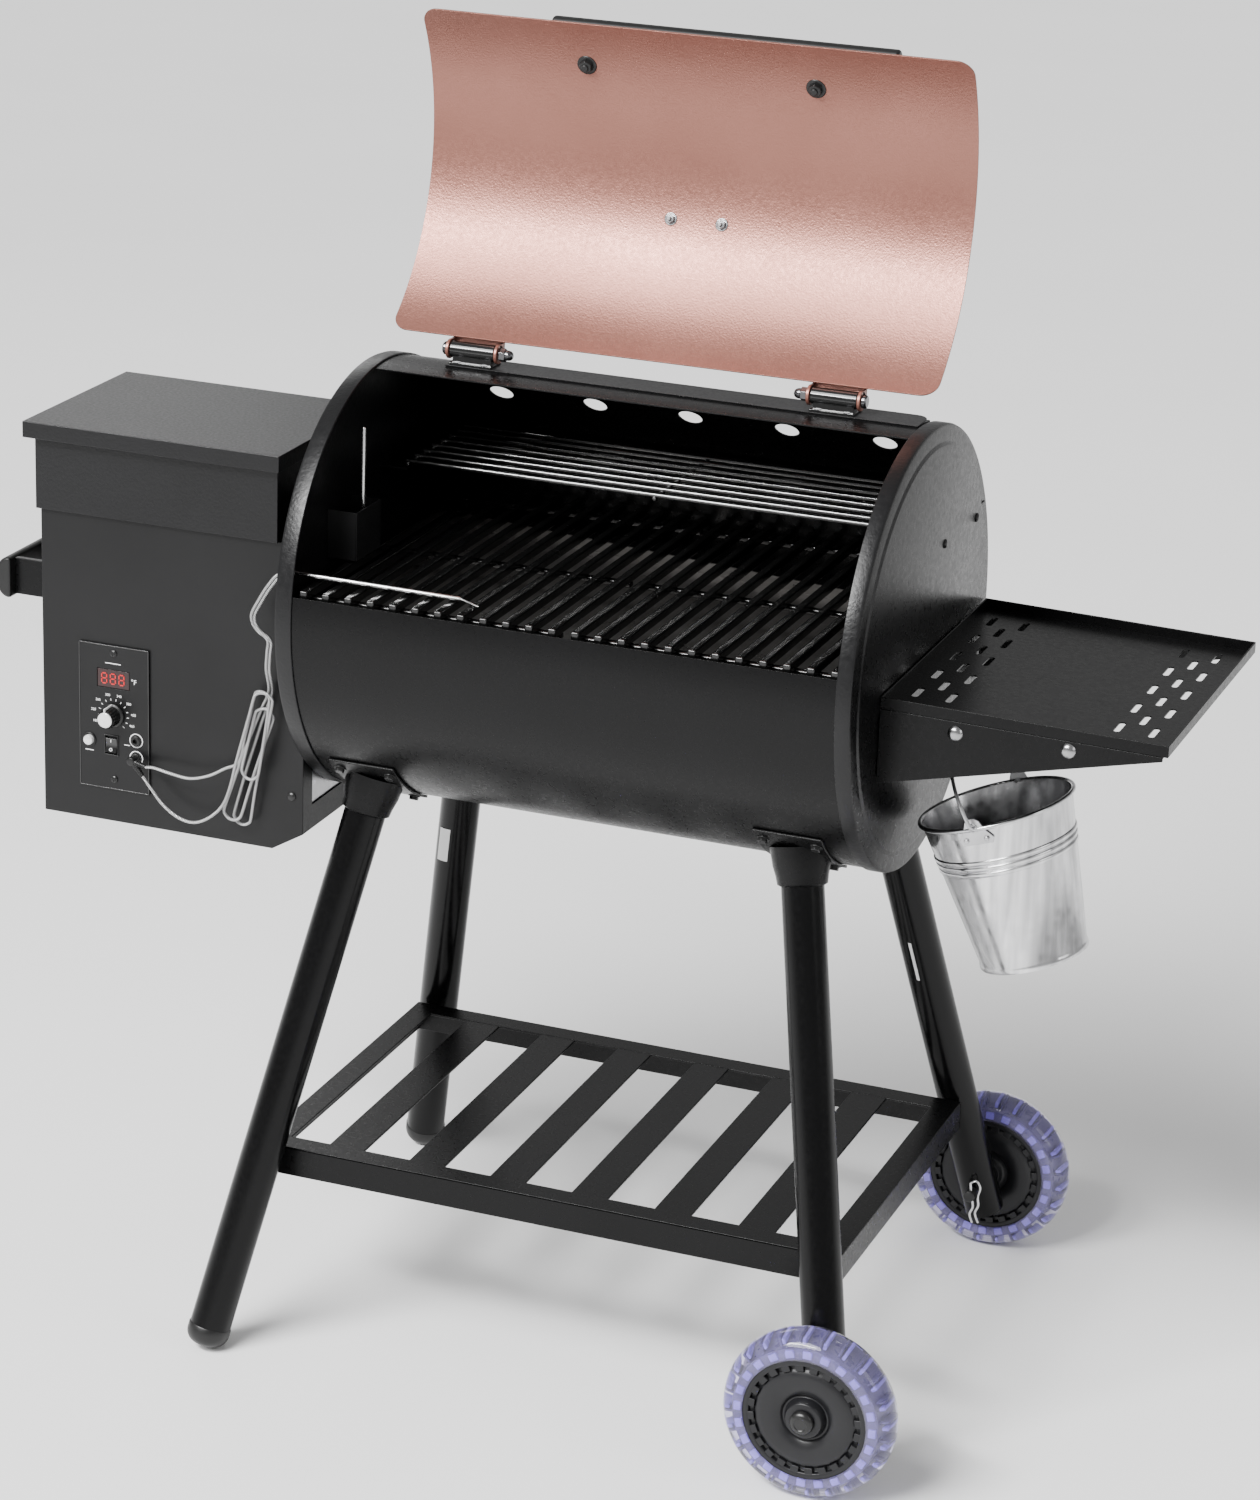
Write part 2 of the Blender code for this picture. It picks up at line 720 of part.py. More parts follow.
def grease_spout():
    """Drain pipe from the drip tray through the right end, with a collar outside."""
    run = [point(520, 0, 655), point(540, 0, 652), point(596, 0, 648.5)]
    path = [point(500, 0, 668)] + run + [point(612, 0, 640)]
    hollow = [point(490, 0, 674.5)] + run + [point(622, 0, 634.7)]
    outer = finish("grease_spout", sweep(path, 11.0, 16), "black_steel", smooth=True)
    cut(outer, sweep(hollow, 9.5, 16))
    return outer


def hopper_body():
    """Box with a chamfered lower right edge, open at the top, with a window for the feed tube."""
    def outline(inset, top):
        return [
            (BODY_X0 + inset, top),
            (BODY_X0 + inset, BODY_Z0 + inset),
            (-50.8 - inset * 0.4, BODY_Z0 + inset),
            (BODY_X1 - inset, 503.0 + inset * 0.6),
            (BODY_X1 - inset, top),
        ]

    body = prism(outline(0, BODY_Z1), BODY_Y0, BODY_Y1, "xz")
    body = finish("hopper_body", body, "powder_black")
    cut(body, prism(outline(SHEET, BODY_Z1 - SHEET), BODY_Y0 + SHEET, BODY_Y1 - SHEET, "xz"))
    cut(body, block(BODY_X0 + 8, -54, BODY_Y0 + 8, BODY_Y1 - 8, BODY_Z1 - 5, BODY_Z1 + 5))
    cut(body, block(BODY_X1 - 5, BODY_X1 + 5, -122, 26, 528, 600))
    cut(body, block(-254.6, -187.3, BODY_Y0 - 5, BODY_Y0 + 5, 536, 652))
    cut(body, block(-190, -166, BODY_Y1 - 5, BODY_Y1 + 5, 520, 548))
    return body


def hopper_knuckle(x0, x1):
    return rod(point(x0, HOPPER_HINGE_Y, HOPPER_HINGE_Z), point(x1, HOPPER_HINGE_Y, HOPPER_HINGE_Z), 2.6, 12)


def hopper_collar():
    """Upper box around the bin's mouth, resting on the body by an inner flange."""
    wall = SHEET
    inner = wall + COLLAR_FLANGE
    xs = [COLLAR_X0, COLLAR_X0 + wall, COLLAR_X0 + inner, COLLAR_X1 - inner, COLLAR_X1 - wall, COLLAR_X1]
    ys = [COLLAR_Y0, COLLAR_Y0 + wall, COLLAR_Y0 + inner, COLLAR_Y1 - inner, COLLAR_Y1 - wall, COLLAR_Y1]
    zs = [BODY_Z1 + GAP, BODY_Z1 + GAP + wall, HOPPER_LID_Z - 16.5, HOPPER_LID_Z - 3.0]

    def solid(i, j, k):
        edge = i in (0, 4) or j in (0, 4)
        flange = k == 0 and (i in (1, 3) or j in (1, 3))
        return edge or flange

    collar = finish("hopper_collar", cells(xs, ys, zs, solid), "powder_black")
    z = HOPPER_HINGE_Z
    for x in LID_KNUCKLES:
        join(collar, hopper_knuckle(x + 20.6, x + 38))
        join(collar, block(x + 20.6, x + 38, COLLAR_Y1 - 1, HOPPER_HINGE_Y, z - 4.2, z - 2))
    return collar


def pellet_bin():
    """Funnel that hangs from the collar's flange and narrows to the feed tube."""
    flange = BODY_Z1 + GAP + SHEET + GAP
    bm = bmesh.new()
    levels = (
        (-299, -46.5, -146.5, 41.5, flange + 1.5),
        (-299, -46.5, -146.5, 41.5, flange),
        (-284, -62, -129, 25, flange),
        (-145, -75, -20, 20, AUGER_Z + 26),
        (-143.5, -76.5, -18.5, 18.5, AUGER_Z + 26),
        (-282.5, -63.5, -127.5, 23.5, flange + 1.5),
    )
    rings = []
    for x0, x1, y0, y1, z in levels:
        rings.append([bm.verts.new(point(x, y, z)) for x, y in ((x0, y0), (x1, y0), (x1, y1), (x0, y1))])
    for first, second in zip(rings, rings[1:] + rings[:1]):
        for i in range(4):
            j = (i + 1) % 4
            bm.faces.new((first[i], first[j], second[j], second[i]))
    return finish("pellet_bin", bm, "galvanised")


def hopper_lid():
    """Flat lid with a turned-down rim."""
    x0, x1 = -309.0, -37.8
    y0, y1 = -160.0, 54.0
    xs = [x0, x0 + 1.5, x1 - 1.5, x1]
    ys = [y0, y0 + 1.5, y1 - 1.5, y1]
    zs = [HOPPER_LID_Z - 16, HOPPER_LID_Z - 1.5, HOPPER_LID_Z]
    lid = cells(xs, ys, zs, lambda i, j, k: k == 1 or i in (0, 2) or j in (0, 2))
    pivot = point((x0 + x1) / 2, HOPPER_HINGE_Y, HOPPER_HINGE_Z)
    lid = finish("hopper_lid", lid, "powder_black", origin=pivot)
    for x in LID_KNUCKLES:
        join(lid, hopper_knuckle(x, x + 20))
        join(lid, block(x, x + 20, y1 - 0.8, HOPPER_HINGE_Y, HOPPER_HINGE_Z + 0.3, HOPPER_HINGE_Z + 2.2))
    return lid


def push_handle():
    """D-shaped grip along the hopper's left side on two arms."""
    outline = [(-346.0, 690.0)]
    for step in range(13):
        angle = math.radians(-90 - 180 * step / 12)
        outline.append((-348.0 + 14 * math.cos(angle), 710.5 + 20.5 * math.sin(angle)))
    outline.append((-346.0, 731.0))
    grip = prism(outline, -124, 20, "xz")
    grip = finish("push_handle", grip, "black_plastic", smooth=True)
    for y in (-113, 4):
        join(grip, block(-348, BODY_X0 - GAP, y, y + 6, 692, 729))
        join(grip, block(BODY_X0 - GAP - 2, BODY_X0 - GAP, y - 4, y + 14, 692, 729))
    return grip


def power_inlet():
    inlet = block(-189, -167, BODY_Y1 - 16, BODY_Y1 + 0.8, 521, 547)
    inlet = finish("power_inlet", inlet, "black_plastic")
    join(inlet, block(-193, -163, BODY_Y1 + GAP, BODY_Y1 + 3, 515, 553))
    cut(inlet, block(-186, -170, BODY_Y1 - 10, BODY_Y1 + 8, 525, 543))
    return inlet




def control_panel():
    """Controller plate with two screws, two probe sockets and openings for the controls."""
    panel = finish("control_panel", block(-258, -182.6, PANEL_FRONT, PANEL_BACK, 518, 665.6), "powder_black")
    join(panel, block(-254.0, -188.0, PANEL_BACK - 1, PANEL_BACK + 14, 537, 651))
    cut(panel, block(-237.3, -204.7, PANEL_FRONT - 5, PANEL_BACK + 12, 623.2, 640.0))
    cut(panel, rod(point(-247.5, -160, 566), point(-247.5, PANEL_BACK + 12, 566), 5.8, 16))
    cut(panel, block(-230.0, -216.5, PANEL_FRONT - 5, PANEL_BACK + 10, 554.2, 572.8))
    cut(panel, rod(point(-221.0, -160, 595), point(-221.0, PANEL_BACK + 10, 595), 3.6, 12))
    for z in (658.0, 528.4):
        screw = [(0, -2), (3.6, -2), (3.4, 1.2), (2.0, 1.9), (0, 1.9)]
        join(panel, lathe(screw, point(-220.5, PANEL_FRONT, z), (0, -1, 0), 12))
    for z in (572.0, PLUG_Z):
        socket = [(0, -1.5), (5.2, -1.5), (5.2, 2.2), (4.4, 3.2), (0, 3.2)]
        join(panel, lathe(socket, point(PLUG_X, PANEL_FRONT, z), (0, -1, 0), 16))
        cut(panel, rod(point(PLUG_X, PANEL_FRONT - 6, z), point(PLUG_X, PANEL_BACK + 10, z), 2.1, 10))
    return panel


def display():
    pane = block(-237, -205, PANEL_FRONT + 0.4, PANEL_BACK + 8, 623.5, 639.7)
    return finish("display", pane, "red_display")


def knob():
    """Temperature knob with a raised pointer rib and a flat cap."""
    centre = point(-221.0, PANEL_FRONT - GAP, 595)
    profile = [(0, 0), (12.0, 0), (12.0, 3), (10.2, 5), (9.4, 17), (8.2, 18.5), (0, 18.5)]
    made = lathe(profile, centre, (0, -1, 0), 20, (0, 0, 1))
    made = finish("knob", made, "black_plastic", smooth=True, origin=centre)
    join(made, rod(centre + Vector((0, 0.009, 0)), centre - Vector((0, 0.002, 0)), 3.0, 10))
    join(made, block(-222.0, -220.0, PANEL_FRONT - 17.0, PANEL_FRONT - 4.0, 603, 607.0))
    return made


def prime_button():
    centre = point(-247.5, PANEL_FRONT - 3.5, 566)
    profile = [(0, -9), (5.2, -9), (5.2, 0.2), (4.4, 1.2), (0, 1.2)]
    made = lathe(profile, centre, (0, -1, 0), 16, (0, 0, 1))
    return finish("prime_button", made, "silver_plastic", smooth=True, origin=centre)


def rocker_switch():
    """Rocker in its recess, tipped to one side."""
    y0 = PANEL_FRONT + 2.0
    outline = [(y0 + 6, 557.2), (y0 - 4.6, 556.4), (y0 - 2.6, 563.5), (y0 - 3.0, 570.6), (y0 + 6, 569.8)]
    made = prism(outline, -229.4, -217.1, "yz")
    return finish("rocker_switch", made, "black_plastic", origin=point(-223.2, y0 + 1.5, 563.5))


def leg_line(side_x, side_y, z):
    """Centre of a leg at height z. side_x is 0 left or 1 right, side_y is -1 front or 1 back."""
    fall = LEG_TOP_Z - z
    out_x = -1 if side_x == 0 else 1
    x = LEG_TOP_X[side_x] + out_x * LEG_SPLAY_X * fall
    y = side_y * (LEG_TOP_Y + LEG_SPLAY_Y * fall)
    return point(x, y, z)


def leg(name, side_x, side_y, bottom):
    """Round tube under a saddle plate that fits the barrel."""
    low = leg_line(side_x, side_y, bottom)
    high = leg_line(side_x, side_y, LEG_TOP_Z + 26)
    tube = finish(name, pipe(low, high, LEG_R, LEG_R - 2.0, 16, (1, 0, 0)), "powder_black", smooth=True)
    x = LEG_TOP_X[side_x] + (4 if side_x == 0 else -4)
    angles = SADDLE_ANGLES if side_y < 0 else (540 - SADDLE_ANGLES[1], 540 - SADDLE_ANGLES[0])
    inner = SHELL_R + GAP
    join(tube, arc_sheet(x - 34, x + 34, inner, inner + 3.2, angles[0], angles[1], 5))
    cut(tube, rod(point(x - 60, 0, AXIS_Z), point(x + 60, 0, AXIS_Z), inner + 0.02, 72))
    return tube


def foot(name, side_y):
    """Rounded plastic cap on the end of a leg without a wheel."""
    low = leg_line(0, side_y, 22)
    floor = leg_line(0, side_y, 0)
    along = (floor - low).normalized()
    profile = [(0, -14), (LEG_R - 2.4, -14), (LEG_R - 2.4, 0.4), (LEG_R + 0.6, 0.4), (LEG_R + 0.4, 6)]
    profile += [(LEG_R - 3, 14), (LEG_R - 9, 19.4), (0, 19.4)]
    cap = lathe(profile, low, along, 18, (1, 0, 0))
    return finish(name, cap, "black_plastic", smooth=True)




def wheel_centre(side):
    return point(AXLE_X, side * WHEEL_Y, AXLE_Z)


def wheel(side, label):
    """Wide soft tyre on a dished hub."""
    centre = wheel_centre(side)
    out = (0, side, 0)
    tyre = [(58.5, -20), (68, -21.5), (78, -16), (WHEEL_R, -4), (WHEEL_R, 4)]
    tyre += [(78, 16), (68, 21.5), (58.5, 20)]
    tyre = lathe(tyre, centre, out, 32, (0, 0, 1))
    tyre = finish("wheel_tyre_" + label, tyre, "violet_tyre", smooth=True, origin=centre)
    hub = [(6.4, -20), (14, -20), (16, -12), (38, -8), (58.2, -19)]
    hub += [(58.2, 19), (51, 19), (42, 10), (24, 12), (18, 22.5), (6.4, 22.5)]
    hub = lathe(hub, centre, out, 28, (0, 0, 1))
    hub = finish("wheel_hub_" + label, hub, "dark_hub", smooth=True, origin=centre)
    return tyre, hub


def axle(side, label):
    """Bolt through the hub and the leg, held by a spring pin inside."""
    centre = wheel_centre(side)
    out = Vector((0, side, 0))
    outer = centre + out * 0.0242
    inner = centre - out * 0.081
    pin = finish("wheel_axle_" + label, rod(inner, outer, 6.0, 16, (0, 0, 1)), "black_steel", smooth=True)
    head = [(0, 0), (11, 0), (11, 3.5), (9, 6.0), (5, 7.2), (0, 7.2)]
    join(pin, lathe(head, outer - out * 0.0004, out, 16, (0, 0, 1)))
    clip = [inner + out * 0.005 + Vector((0.0, 0, 0.014)), inner + out * 0.005 + Vector((0.004, 0, -0.03))]
    join(pin, rod(clip[0], clip[1], 1.3, 8))
    return pin


def drill_leg(obj, side):
    centre = wheel_centre(side)
    out = Vector((0, side, 0))
    cut(obj, rod(centre - out * 0.09, centre - out * 0.01, 6.4, 16, (0, 0, 1)))


def bottom_shelf():
    """Angle-iron frame with six flat slats."""
    xs = [SHELF_X0, SHELF_X0 + 2.5, SHELF_X0 + 25]
    slats = []
    for i in range(6):
        left = 26.0 + 85.3 * i
        slats.append((left, left + 37.0))
        xs += [left, left + 37.0]
    xs += [SHELF_X1 - 25, SHELF_X1 - 2.5, SHELF_X1]
    ys = [-SHELF_Y, -SHELF_Y + 2.5, -SHELF_Y + 24, SHELF_Y - 24, SHELF_Y - 2.5, SHELF_Y]
    zs = [SHELF_TOP - 30, SHELF_TOP - 2.5, SHELF_TOP]
    last = len(xs) - 2

    def solid(i, j, k):
        if i in (0, last) or j in (0, 4):
            return True
        if k == 0:
            return False
        if i in (1, last - 1) or j in (1, 3):
            return True
        return xs[i] in [s[0] for s in slats]

    return finish("bottom_shelf", cells(xs, ys, zs, solid), "powder_black")


def droop(x, y, z):
    return x, y, z - TRAY_DROOP * (x - TRAY_X0)




def side_shelf():
    """Shallow tray with two groups of staggered slots and a raised rim."""
    left_group = (572.0, 588.0, 604.0)
    right_group = (762.5, 778.5, 794.5)
    wide_rows = [-78.0 + 58.8 * i for i in range(5)]
    narrow_rows = [-48.6 + 58.8 * i for i in range(4)]
    xs = [TRAY_X0, TRAY_X0 + 1.5]
    for x in left_group + right_group:
        xs += [x - SLOT_WIDTH / 2, x + SLOT_WIDTH / 2]
    xs += [TRAY_X1 - 1.5, TRAY_X1]
    ys = {TRAY_Y0, TRAY_Y0 + 1.5, TRAY_Y1 - 1.5, TRAY_Y1}
    for y in wide_rows + narrow_rows:
        ys |= {y - SLOT_HALF, y + SLOT_HALF}
    ys = sorted(ys)
    zs = [TRAY_TOP - 11.0, TRAY_TOP - 9.5, TRAY_TOP]
    outer = (left_group[0], left_group[2], right_group[0], right_group[2])
    inner = (left_group[1], right_group[1])

    def slot(x, y):
        for group, rows in ((outer, wide_rows), (inner, narrow_rows)):
            if any(abs(x - g) < SLOT_WIDTH / 2 for g in group):
                return any(abs(y - row) < SLOT_HALF for row in rows)
        return False

    def solid(i, j, k):
        rim = i in (0, len(xs) - 2) or j in (0, len(ys) - 2)
        if k == 1 or rim:
            return rim
        return not slot((xs[i] + xs[i + 1]) / 2, (ys[j] + ys[j + 1]) / 2)

    return finish("side_shelf", cells(xs, ys, zs, solid, droop), "powder_black")


def side_bracket(name, y0, front):
    """Triangular bracket with two screw heads, flanged along its top."""
    top = TRAY_TOP - 11.0 - GAP
    x0 = TRAY_X0
    x1 = TRAY_X1 - 5
    end = top - TRAY_DROOP * (x1 - x0)
    outline = [(x0, 646.0), (x1, 708.3), (x1, end), (x0, top)]
    plate = finish(name, prism(outline, y0, y0 + 2.0, "xz"), "powder_black")
    flange_y = (y0, y0 + 16) if front else (y0 - 14, y0 + 2)
    shelf = prism(
        [(x0, top - 2), (x0, top), (x1, end), (x1, end - 2)],
        flange_y[0],
        flange_y[1],
        "xz",
    )
    join(plate, shelf)
    join(plate, block(x0, x0 + 2, flange_y[0], flange_y[1], 650, top - 1))
    face = y0 if front else y0 + 2.0
    out = (0, -1, 0) if front else (0, 1, 0)
    for x in (625.4, 730.9):
        head = [(0, -0.5), (7.0, -0.5), (7.0, 0.8), (5.2, 3.0), (2.5, 4.2), (0, 4.2)]
        join(plate, lathe(head, point(x, face, 705.3), out, 12))
    return plate


def bucket_frame(lift):
    """Point on the bucket's own axis, lift above the lug line."""
    tilt = math.radians(BUCKET_TILT)
    up = Vector((-math.sin(tilt), 0, math.cos(tilt)))
    return point(BUCKET_X, 0, BUCKET_Z) + up * lift * MM, up


def bucket():
    """Tapered pail with a rolled rim, two lugs and pressed rings."""
    base, up = bucket_frame(-BUCKET_H)
    span = BUCKET_R - BUCKET_BASE_R

    def wall(height):
        return BUCKET_BASE_R + span * height / BUCKET_H

    profile = [(0, 3), (wall(0) - 1, 3), (wall(0), 0)]
    for height, proud in ((107, 0.6), (110, 1.8), (113, 0.6)):
        profile.append((wall(height) + proud, height))
    top = BUCKET_H
    profile += [(wall(top) + 0.6, top - 4), (BUCKET_R + 2.8, top - 2), (BUCKET_R + 1.0, top + 1.2)]
    profile += [(BUCKET_R - 0.6, top - 1), (wall(4) - 0.8, 4.2), (0, 4.2)]
    pail = lathe(profile, base, up, 28, (0, 1, 0))
    pail = finish("bucket", pail, "galvanised", smooth=True, origin=point(BUCKET_X, 0, BUCKET_Z))
    middle = point(BUCKET_X, 0, BUCKET_Z)
    tilt = Matrix.Rotation(math.radians(-BUCKET_TILT), 3, "Y")
    for side in (-1, 1):
        lug = block(-14, 14, 72.5 if side > 0 else -76.5, 76.5 if side > 0 else -72.5, -16, 9)
        bmesh.ops.translate(lug, vec=-point(0, 0, 0), verts=lug.verts)
        bmesh.ops.rotate(lug, verts=lug.verts, cent=(0, 0, 0), matrix=tilt)
        bmesh.ops.translate(lug, vec=middle, verts=lug.verts)
        join(pail, lug)
    for side in (-1, 1):
        start = middle + Vector((0, side * 0.066, 0))
        cut(pail, rod(start, start + Vector((0, side * 0.016, 0)), 2.9, 12))
    return pail


def bail():
    """Wire handle through both lugs, hooked over the spout."""
    tilt = math.radians(BAIL_TILT)
    up = Vector((-math.sin(tilt), 0, math.cos(tilt)))
    middle = point(BUCKET_X, 0, BUCKET_Z)
    hook = [(0.0655, 0.0), (0.0785, 0.0), (0.0815, 0.003)]
    path = [middle + Vector((0, -out, 0)) + up * lift for out, lift in hook]
    for step in range(0, 13):
        angle = math.radians(180 - 15 * step)
        side = math.cos(angle)
        lift = math.sin(angle) ** 0.85 if 0 < step < 12 else 0.0
        path.append(middle + Vector((0, side * 0.0815, 0)) + up * (0.006 + (BAIL_LENGTH - 6) * MM * lift))
    path += [middle + Vector((0, out, 0)) + up * lift for out, lift in reversed(hook)]
    apex = middle + up * BAIL_LENGTH * MM
    return finish("bail", sweep(path, 1.8, 8), "galvanised", smooth=True, origin=apex)


def smooth_route(points, samples):
    """Catmull-Rom curve through route points, resampled evenly."""
    spots = [Vector(p) for p in points]
    padded = [spots[0] * 2 - spots[1]] + spots + [spots[-1] * 2 - spots[-2]]
    dense = []
    for i in range(1, len(padded) - 2):
        for step in range(24):
            t = step / 24
            a, b, c, d = padded[i - 1:i + 3]
            bend = (2 * a - 5 * b + 4 * c - d) * t ** 2 + (3 * b - a - 3 * c + d) * t ** 3
            dense.append(0.5 * (2 * b + (c - a) * t + bend))
    dense.append(spots[-1])
    lengths = [0.0]
    for a, b in zip(dense, dense[1:]):
        lengths.append(lengths[-1] + (b - a).length)
    out = []
    j = 0
    for i in range(samples):
        goal = lengths[-1] * i / (samples - 1)
        while j < len(lengths) - 2 and lengths[j + 1] < goal:
            j += 1
        span = lengths[j + 1] - lengths[j]
        share = (goal - lengths[j]) / span if span else 0.0
        out.append(dense[j].lerp(dense[j + 1], min(max(share, 0.0), 1.0)))
    return out


def cord(name, route, diameter, samples):
    curve = bpy.data.curves.new(name, "CURVE")
    curve.dimensions = "3D"
    curve.bevel_depth = diameter * MM / 2
    curve.bevel_resolution = 2
    curve.use_fill_caps = True
    spline = curve.splines.new("POLY")
    spots = smooth_route(route, samples)
    spline.points.add(len(spots) - 1)
    for control, spot in zip(spline.points, spots):
        control.co = (*spot, 1)
    obj = bpy.data.objects.new(name, curve)
    bpy.context.scene.collection.objects.link(obj)
    curve.materials.append(material("braid"))
    return obj


def probe_plug():
    """Plug in the lower socket with two strain reliefs, one per lead."""
    start = point(PLUG_X, PANEL_FRONT - 3.6, PLUG_Z)
    housing = rod(start, start - Vector((0, 0.010, 0)), 4.4, 16)
    plug = finish("probe_plug", housing, "black_plastic", smooth=True)
    join(plug, rod(start + Vector((0, 0.010, 0)), start, 1.5, 12))
    heart = start - Vector((0, 0.007, 0))
    for tip in (point(-181.0, -157.0, 551.0), point(-184.0, -157.0, 541.5)):
        join(plug, rod(heart, tip, 2.4, 12))
    return plug


def cable_upper():
    route = [
        point(-180.4, -157.1, 550.9),
        point(-160.0, -160.0, 548.0),
        point(-130.0, -163.0, 547.0),
        point(-106.0, -163.0, 553.0),
        point(-94.0, -161.0, 560.0),
        point(-87.6, -159.5, 566.0),
    ]
    return cord("probe_cable_upper", route, 3.0, 16)


def cable_lower():
    route = [
        point(-183.6, -157.2, 540.8),
        point(-165.0, -160.0, 528.0),
        point(-146.0, -163.0, 507.0),
        point(-124.0, -164.0, 501.0),
        point(-106.0, -162.0, 510.0),
        point(-93.0, -160.0, 524.0),
    ]
    return cord("probe_cable_lower", route, 3.0, 20)


def cable_hank():
    """Outer shape of the bundled cable, a flat bean hanging beside the barrel's end."""
    path = []
    for x, z in ((-85, 505), (-79, 535), (-71, 570), (-62, 605), (-54, 635), (-49, 658)):
        path.append(point(x, -157.5, z))
    widths = (5.5, 11.0, 13.0, 12.5, 10.0, 4.5)
    bm = bmesh.new()
    rings = []
    for spot, width in zip(path, widths):
        ring = []
        for step in range(14):
            angle = 2 * math.pi * step / 14
            shift = Vector((math.cos(angle) * width, math.sin(angle) * min(width * 0.62, 7.2), 0)) * MM
            ring.append(bm.verts.new(spot + shift))
        rings.append(ring)
    for first, second in zip(rings, rings[1:]):
        for step in range(14):
            after = (step + 1) % 14
            bm.faces.new((first[step], first[after], second[after], second[step]))
    bm.faces.new(list(reversed(rings[0])))
    bm.faces.new(rings[-1])
    return finish("cable_hank", bm, "braid", smooth=True)


def cable_lead():
    """Lead from the hank up and into the port in the barrel's left end."""
    route = [
        point(-48.6, -157.5, 660.0),
        point(-45.5, -160.0, 680.0),
        point(-45.0, -163.0, 702.0),
        point(-58.0, -166.0, 714.0),
        point(-58.0, -170.0, 730.0),
        point(-46.0, -175.0, 752.0),
        point(-36.0, -178.0, 770.0),
        point(-26.0, -178.0, 777.5),
        point(-12.0, -178.0, 778.0),
    ]
    return cord("probe_cable_lead", route, 3.0, 26)


def meat_probe():
    """Steel probe lying on the grate, its thin tip at the right."""
    start = point(-11.0, -178.0, 778.3)
    knee = point(152.7, -166.0, GRATE_TOP + 2.8)
    tip = point(174.0, -176.5, GRATE_TOP + 1.6)
    handle = sweep([start, start.lerp(knee, 0.12), knee], 2.2, 12)
    probe = finish("meat_probe", handle, "stainless", smooth=True)
    join(probe, sweep([knee.lerp(start, 0.02), knee.lerp(tip, 0.05), tip], 1.1, 10))
    return probe


def build():
    barrel_shell()
    end_cap_left()
    end_cap_right()
    lid_sheet()
    lid_handle()
    nameplate()
    hinge_base("hinge_base_left", 61, False)
    hinge_base("hinge_base_right", 425, True)
    hinge_leaf("hinge_leaf_left", 61)
    hinge_leaf("hinge_leaf_right", 425)
    grate("grate_left", 8.3)
    grate("grate_right", 8.3 + 12 * GRATE_PITCH)
    warming_rack()
    drip_tray()
    heat_baffle()
    fire_pot()
    auger_tube()
    auger_screw()
    auger_motor()
    blower_housing()
    blower_wheel()
    temperature_sensor()
    sensor_guard()
    grease_spout()
    hopper_body()
    hopper_collar()
    pellet_bin()
    hopper_lid()
    push_handle()
    power_inlet()
    control_panel()
    display()
    knob()
    prime_button()
    rocker_switch()
    leg("leg_front_left", 0, -1, 22)
    leg("leg_rear_left", 0, 1, 22)
    drill_leg(leg("leg_front_right", 1, -1, 56), -1)
    drill_leg(leg("leg_rear_right", 1, 1, 56), 1)
    foot("foot_front_left", -1)
    foot("foot_rear_left", 1)
    wheel(-1, "front")
    wheel(1, "rear")
    axle(-1, "front")
    axle(1, "rear")
    bottom_shelf()
    side_shelf()
    side_bracket("side_bracket_front", TRAY_Y0, True)
    side_bracket("side_bracket_rear", TRAY_Y1 - 2.0, False)
    bucket()
    bail()
    probe_plug()
    cable_upper()
    cable_lower()
    cable_hank()
    cable_lead()
    meat_probe()


build()
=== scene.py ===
"""Looks of the wood pellet grill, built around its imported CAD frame."""

import json
import math

import bmesh
import bpy
from mathutils import Matrix, Vector


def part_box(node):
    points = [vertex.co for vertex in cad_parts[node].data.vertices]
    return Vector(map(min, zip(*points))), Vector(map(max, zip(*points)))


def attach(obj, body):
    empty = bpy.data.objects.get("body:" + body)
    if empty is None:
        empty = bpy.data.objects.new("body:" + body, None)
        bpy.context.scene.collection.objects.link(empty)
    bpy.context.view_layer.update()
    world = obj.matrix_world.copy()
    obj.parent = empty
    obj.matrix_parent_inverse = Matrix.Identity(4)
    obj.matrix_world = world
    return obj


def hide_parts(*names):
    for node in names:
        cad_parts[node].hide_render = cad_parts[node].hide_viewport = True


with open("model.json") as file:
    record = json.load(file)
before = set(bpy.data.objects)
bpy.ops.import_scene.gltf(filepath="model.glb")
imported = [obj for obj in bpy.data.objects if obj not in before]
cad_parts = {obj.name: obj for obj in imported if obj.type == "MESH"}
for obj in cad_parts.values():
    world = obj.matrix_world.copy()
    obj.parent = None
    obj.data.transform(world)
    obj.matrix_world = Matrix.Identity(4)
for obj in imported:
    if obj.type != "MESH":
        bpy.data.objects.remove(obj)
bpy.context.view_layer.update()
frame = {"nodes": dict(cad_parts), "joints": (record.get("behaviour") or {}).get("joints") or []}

MM = 0.001
GRILL = "grill_body"
LID = "lid_body"

# Driving places, read from the frame. x runs from the barrel's left inner edge, y from its axis.
cap_low, cap_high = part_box("end_cap_left")
right_low, right_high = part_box("end_cap_right")
CAP_R = (cap_high.z - cap_low.z) / 2 / MM
AXIS_Z = (cap_high.z + cap_low.z) / 2 / MM
CAP_LEFT = 17.75
BARREL_X = cap_low.x + CAP_LEFT * MM
BARREL_LENGTH = 535.0
CAP_RIGHT = 15.4
SHELL_R = 210.3
SHEET = 1.5
GAP = 0.3
JOINTS = {joint["name"]: joint for joint in frame["joints"]}
HINGE_Y = JOINTS["lid_hinge"]["pos_m"][1] / MM
HINGE_Z = JOINTS["lid_hinge"]["pos_m"][2] / MM


def at(x, y, z):
    """Point in the frame from millimetres along the barrel, from its axis and above the floor."""
    return Vector((BARREL_X + x * MM, y * MM, z * MM))


# ---------------------------------------------------------------- camera

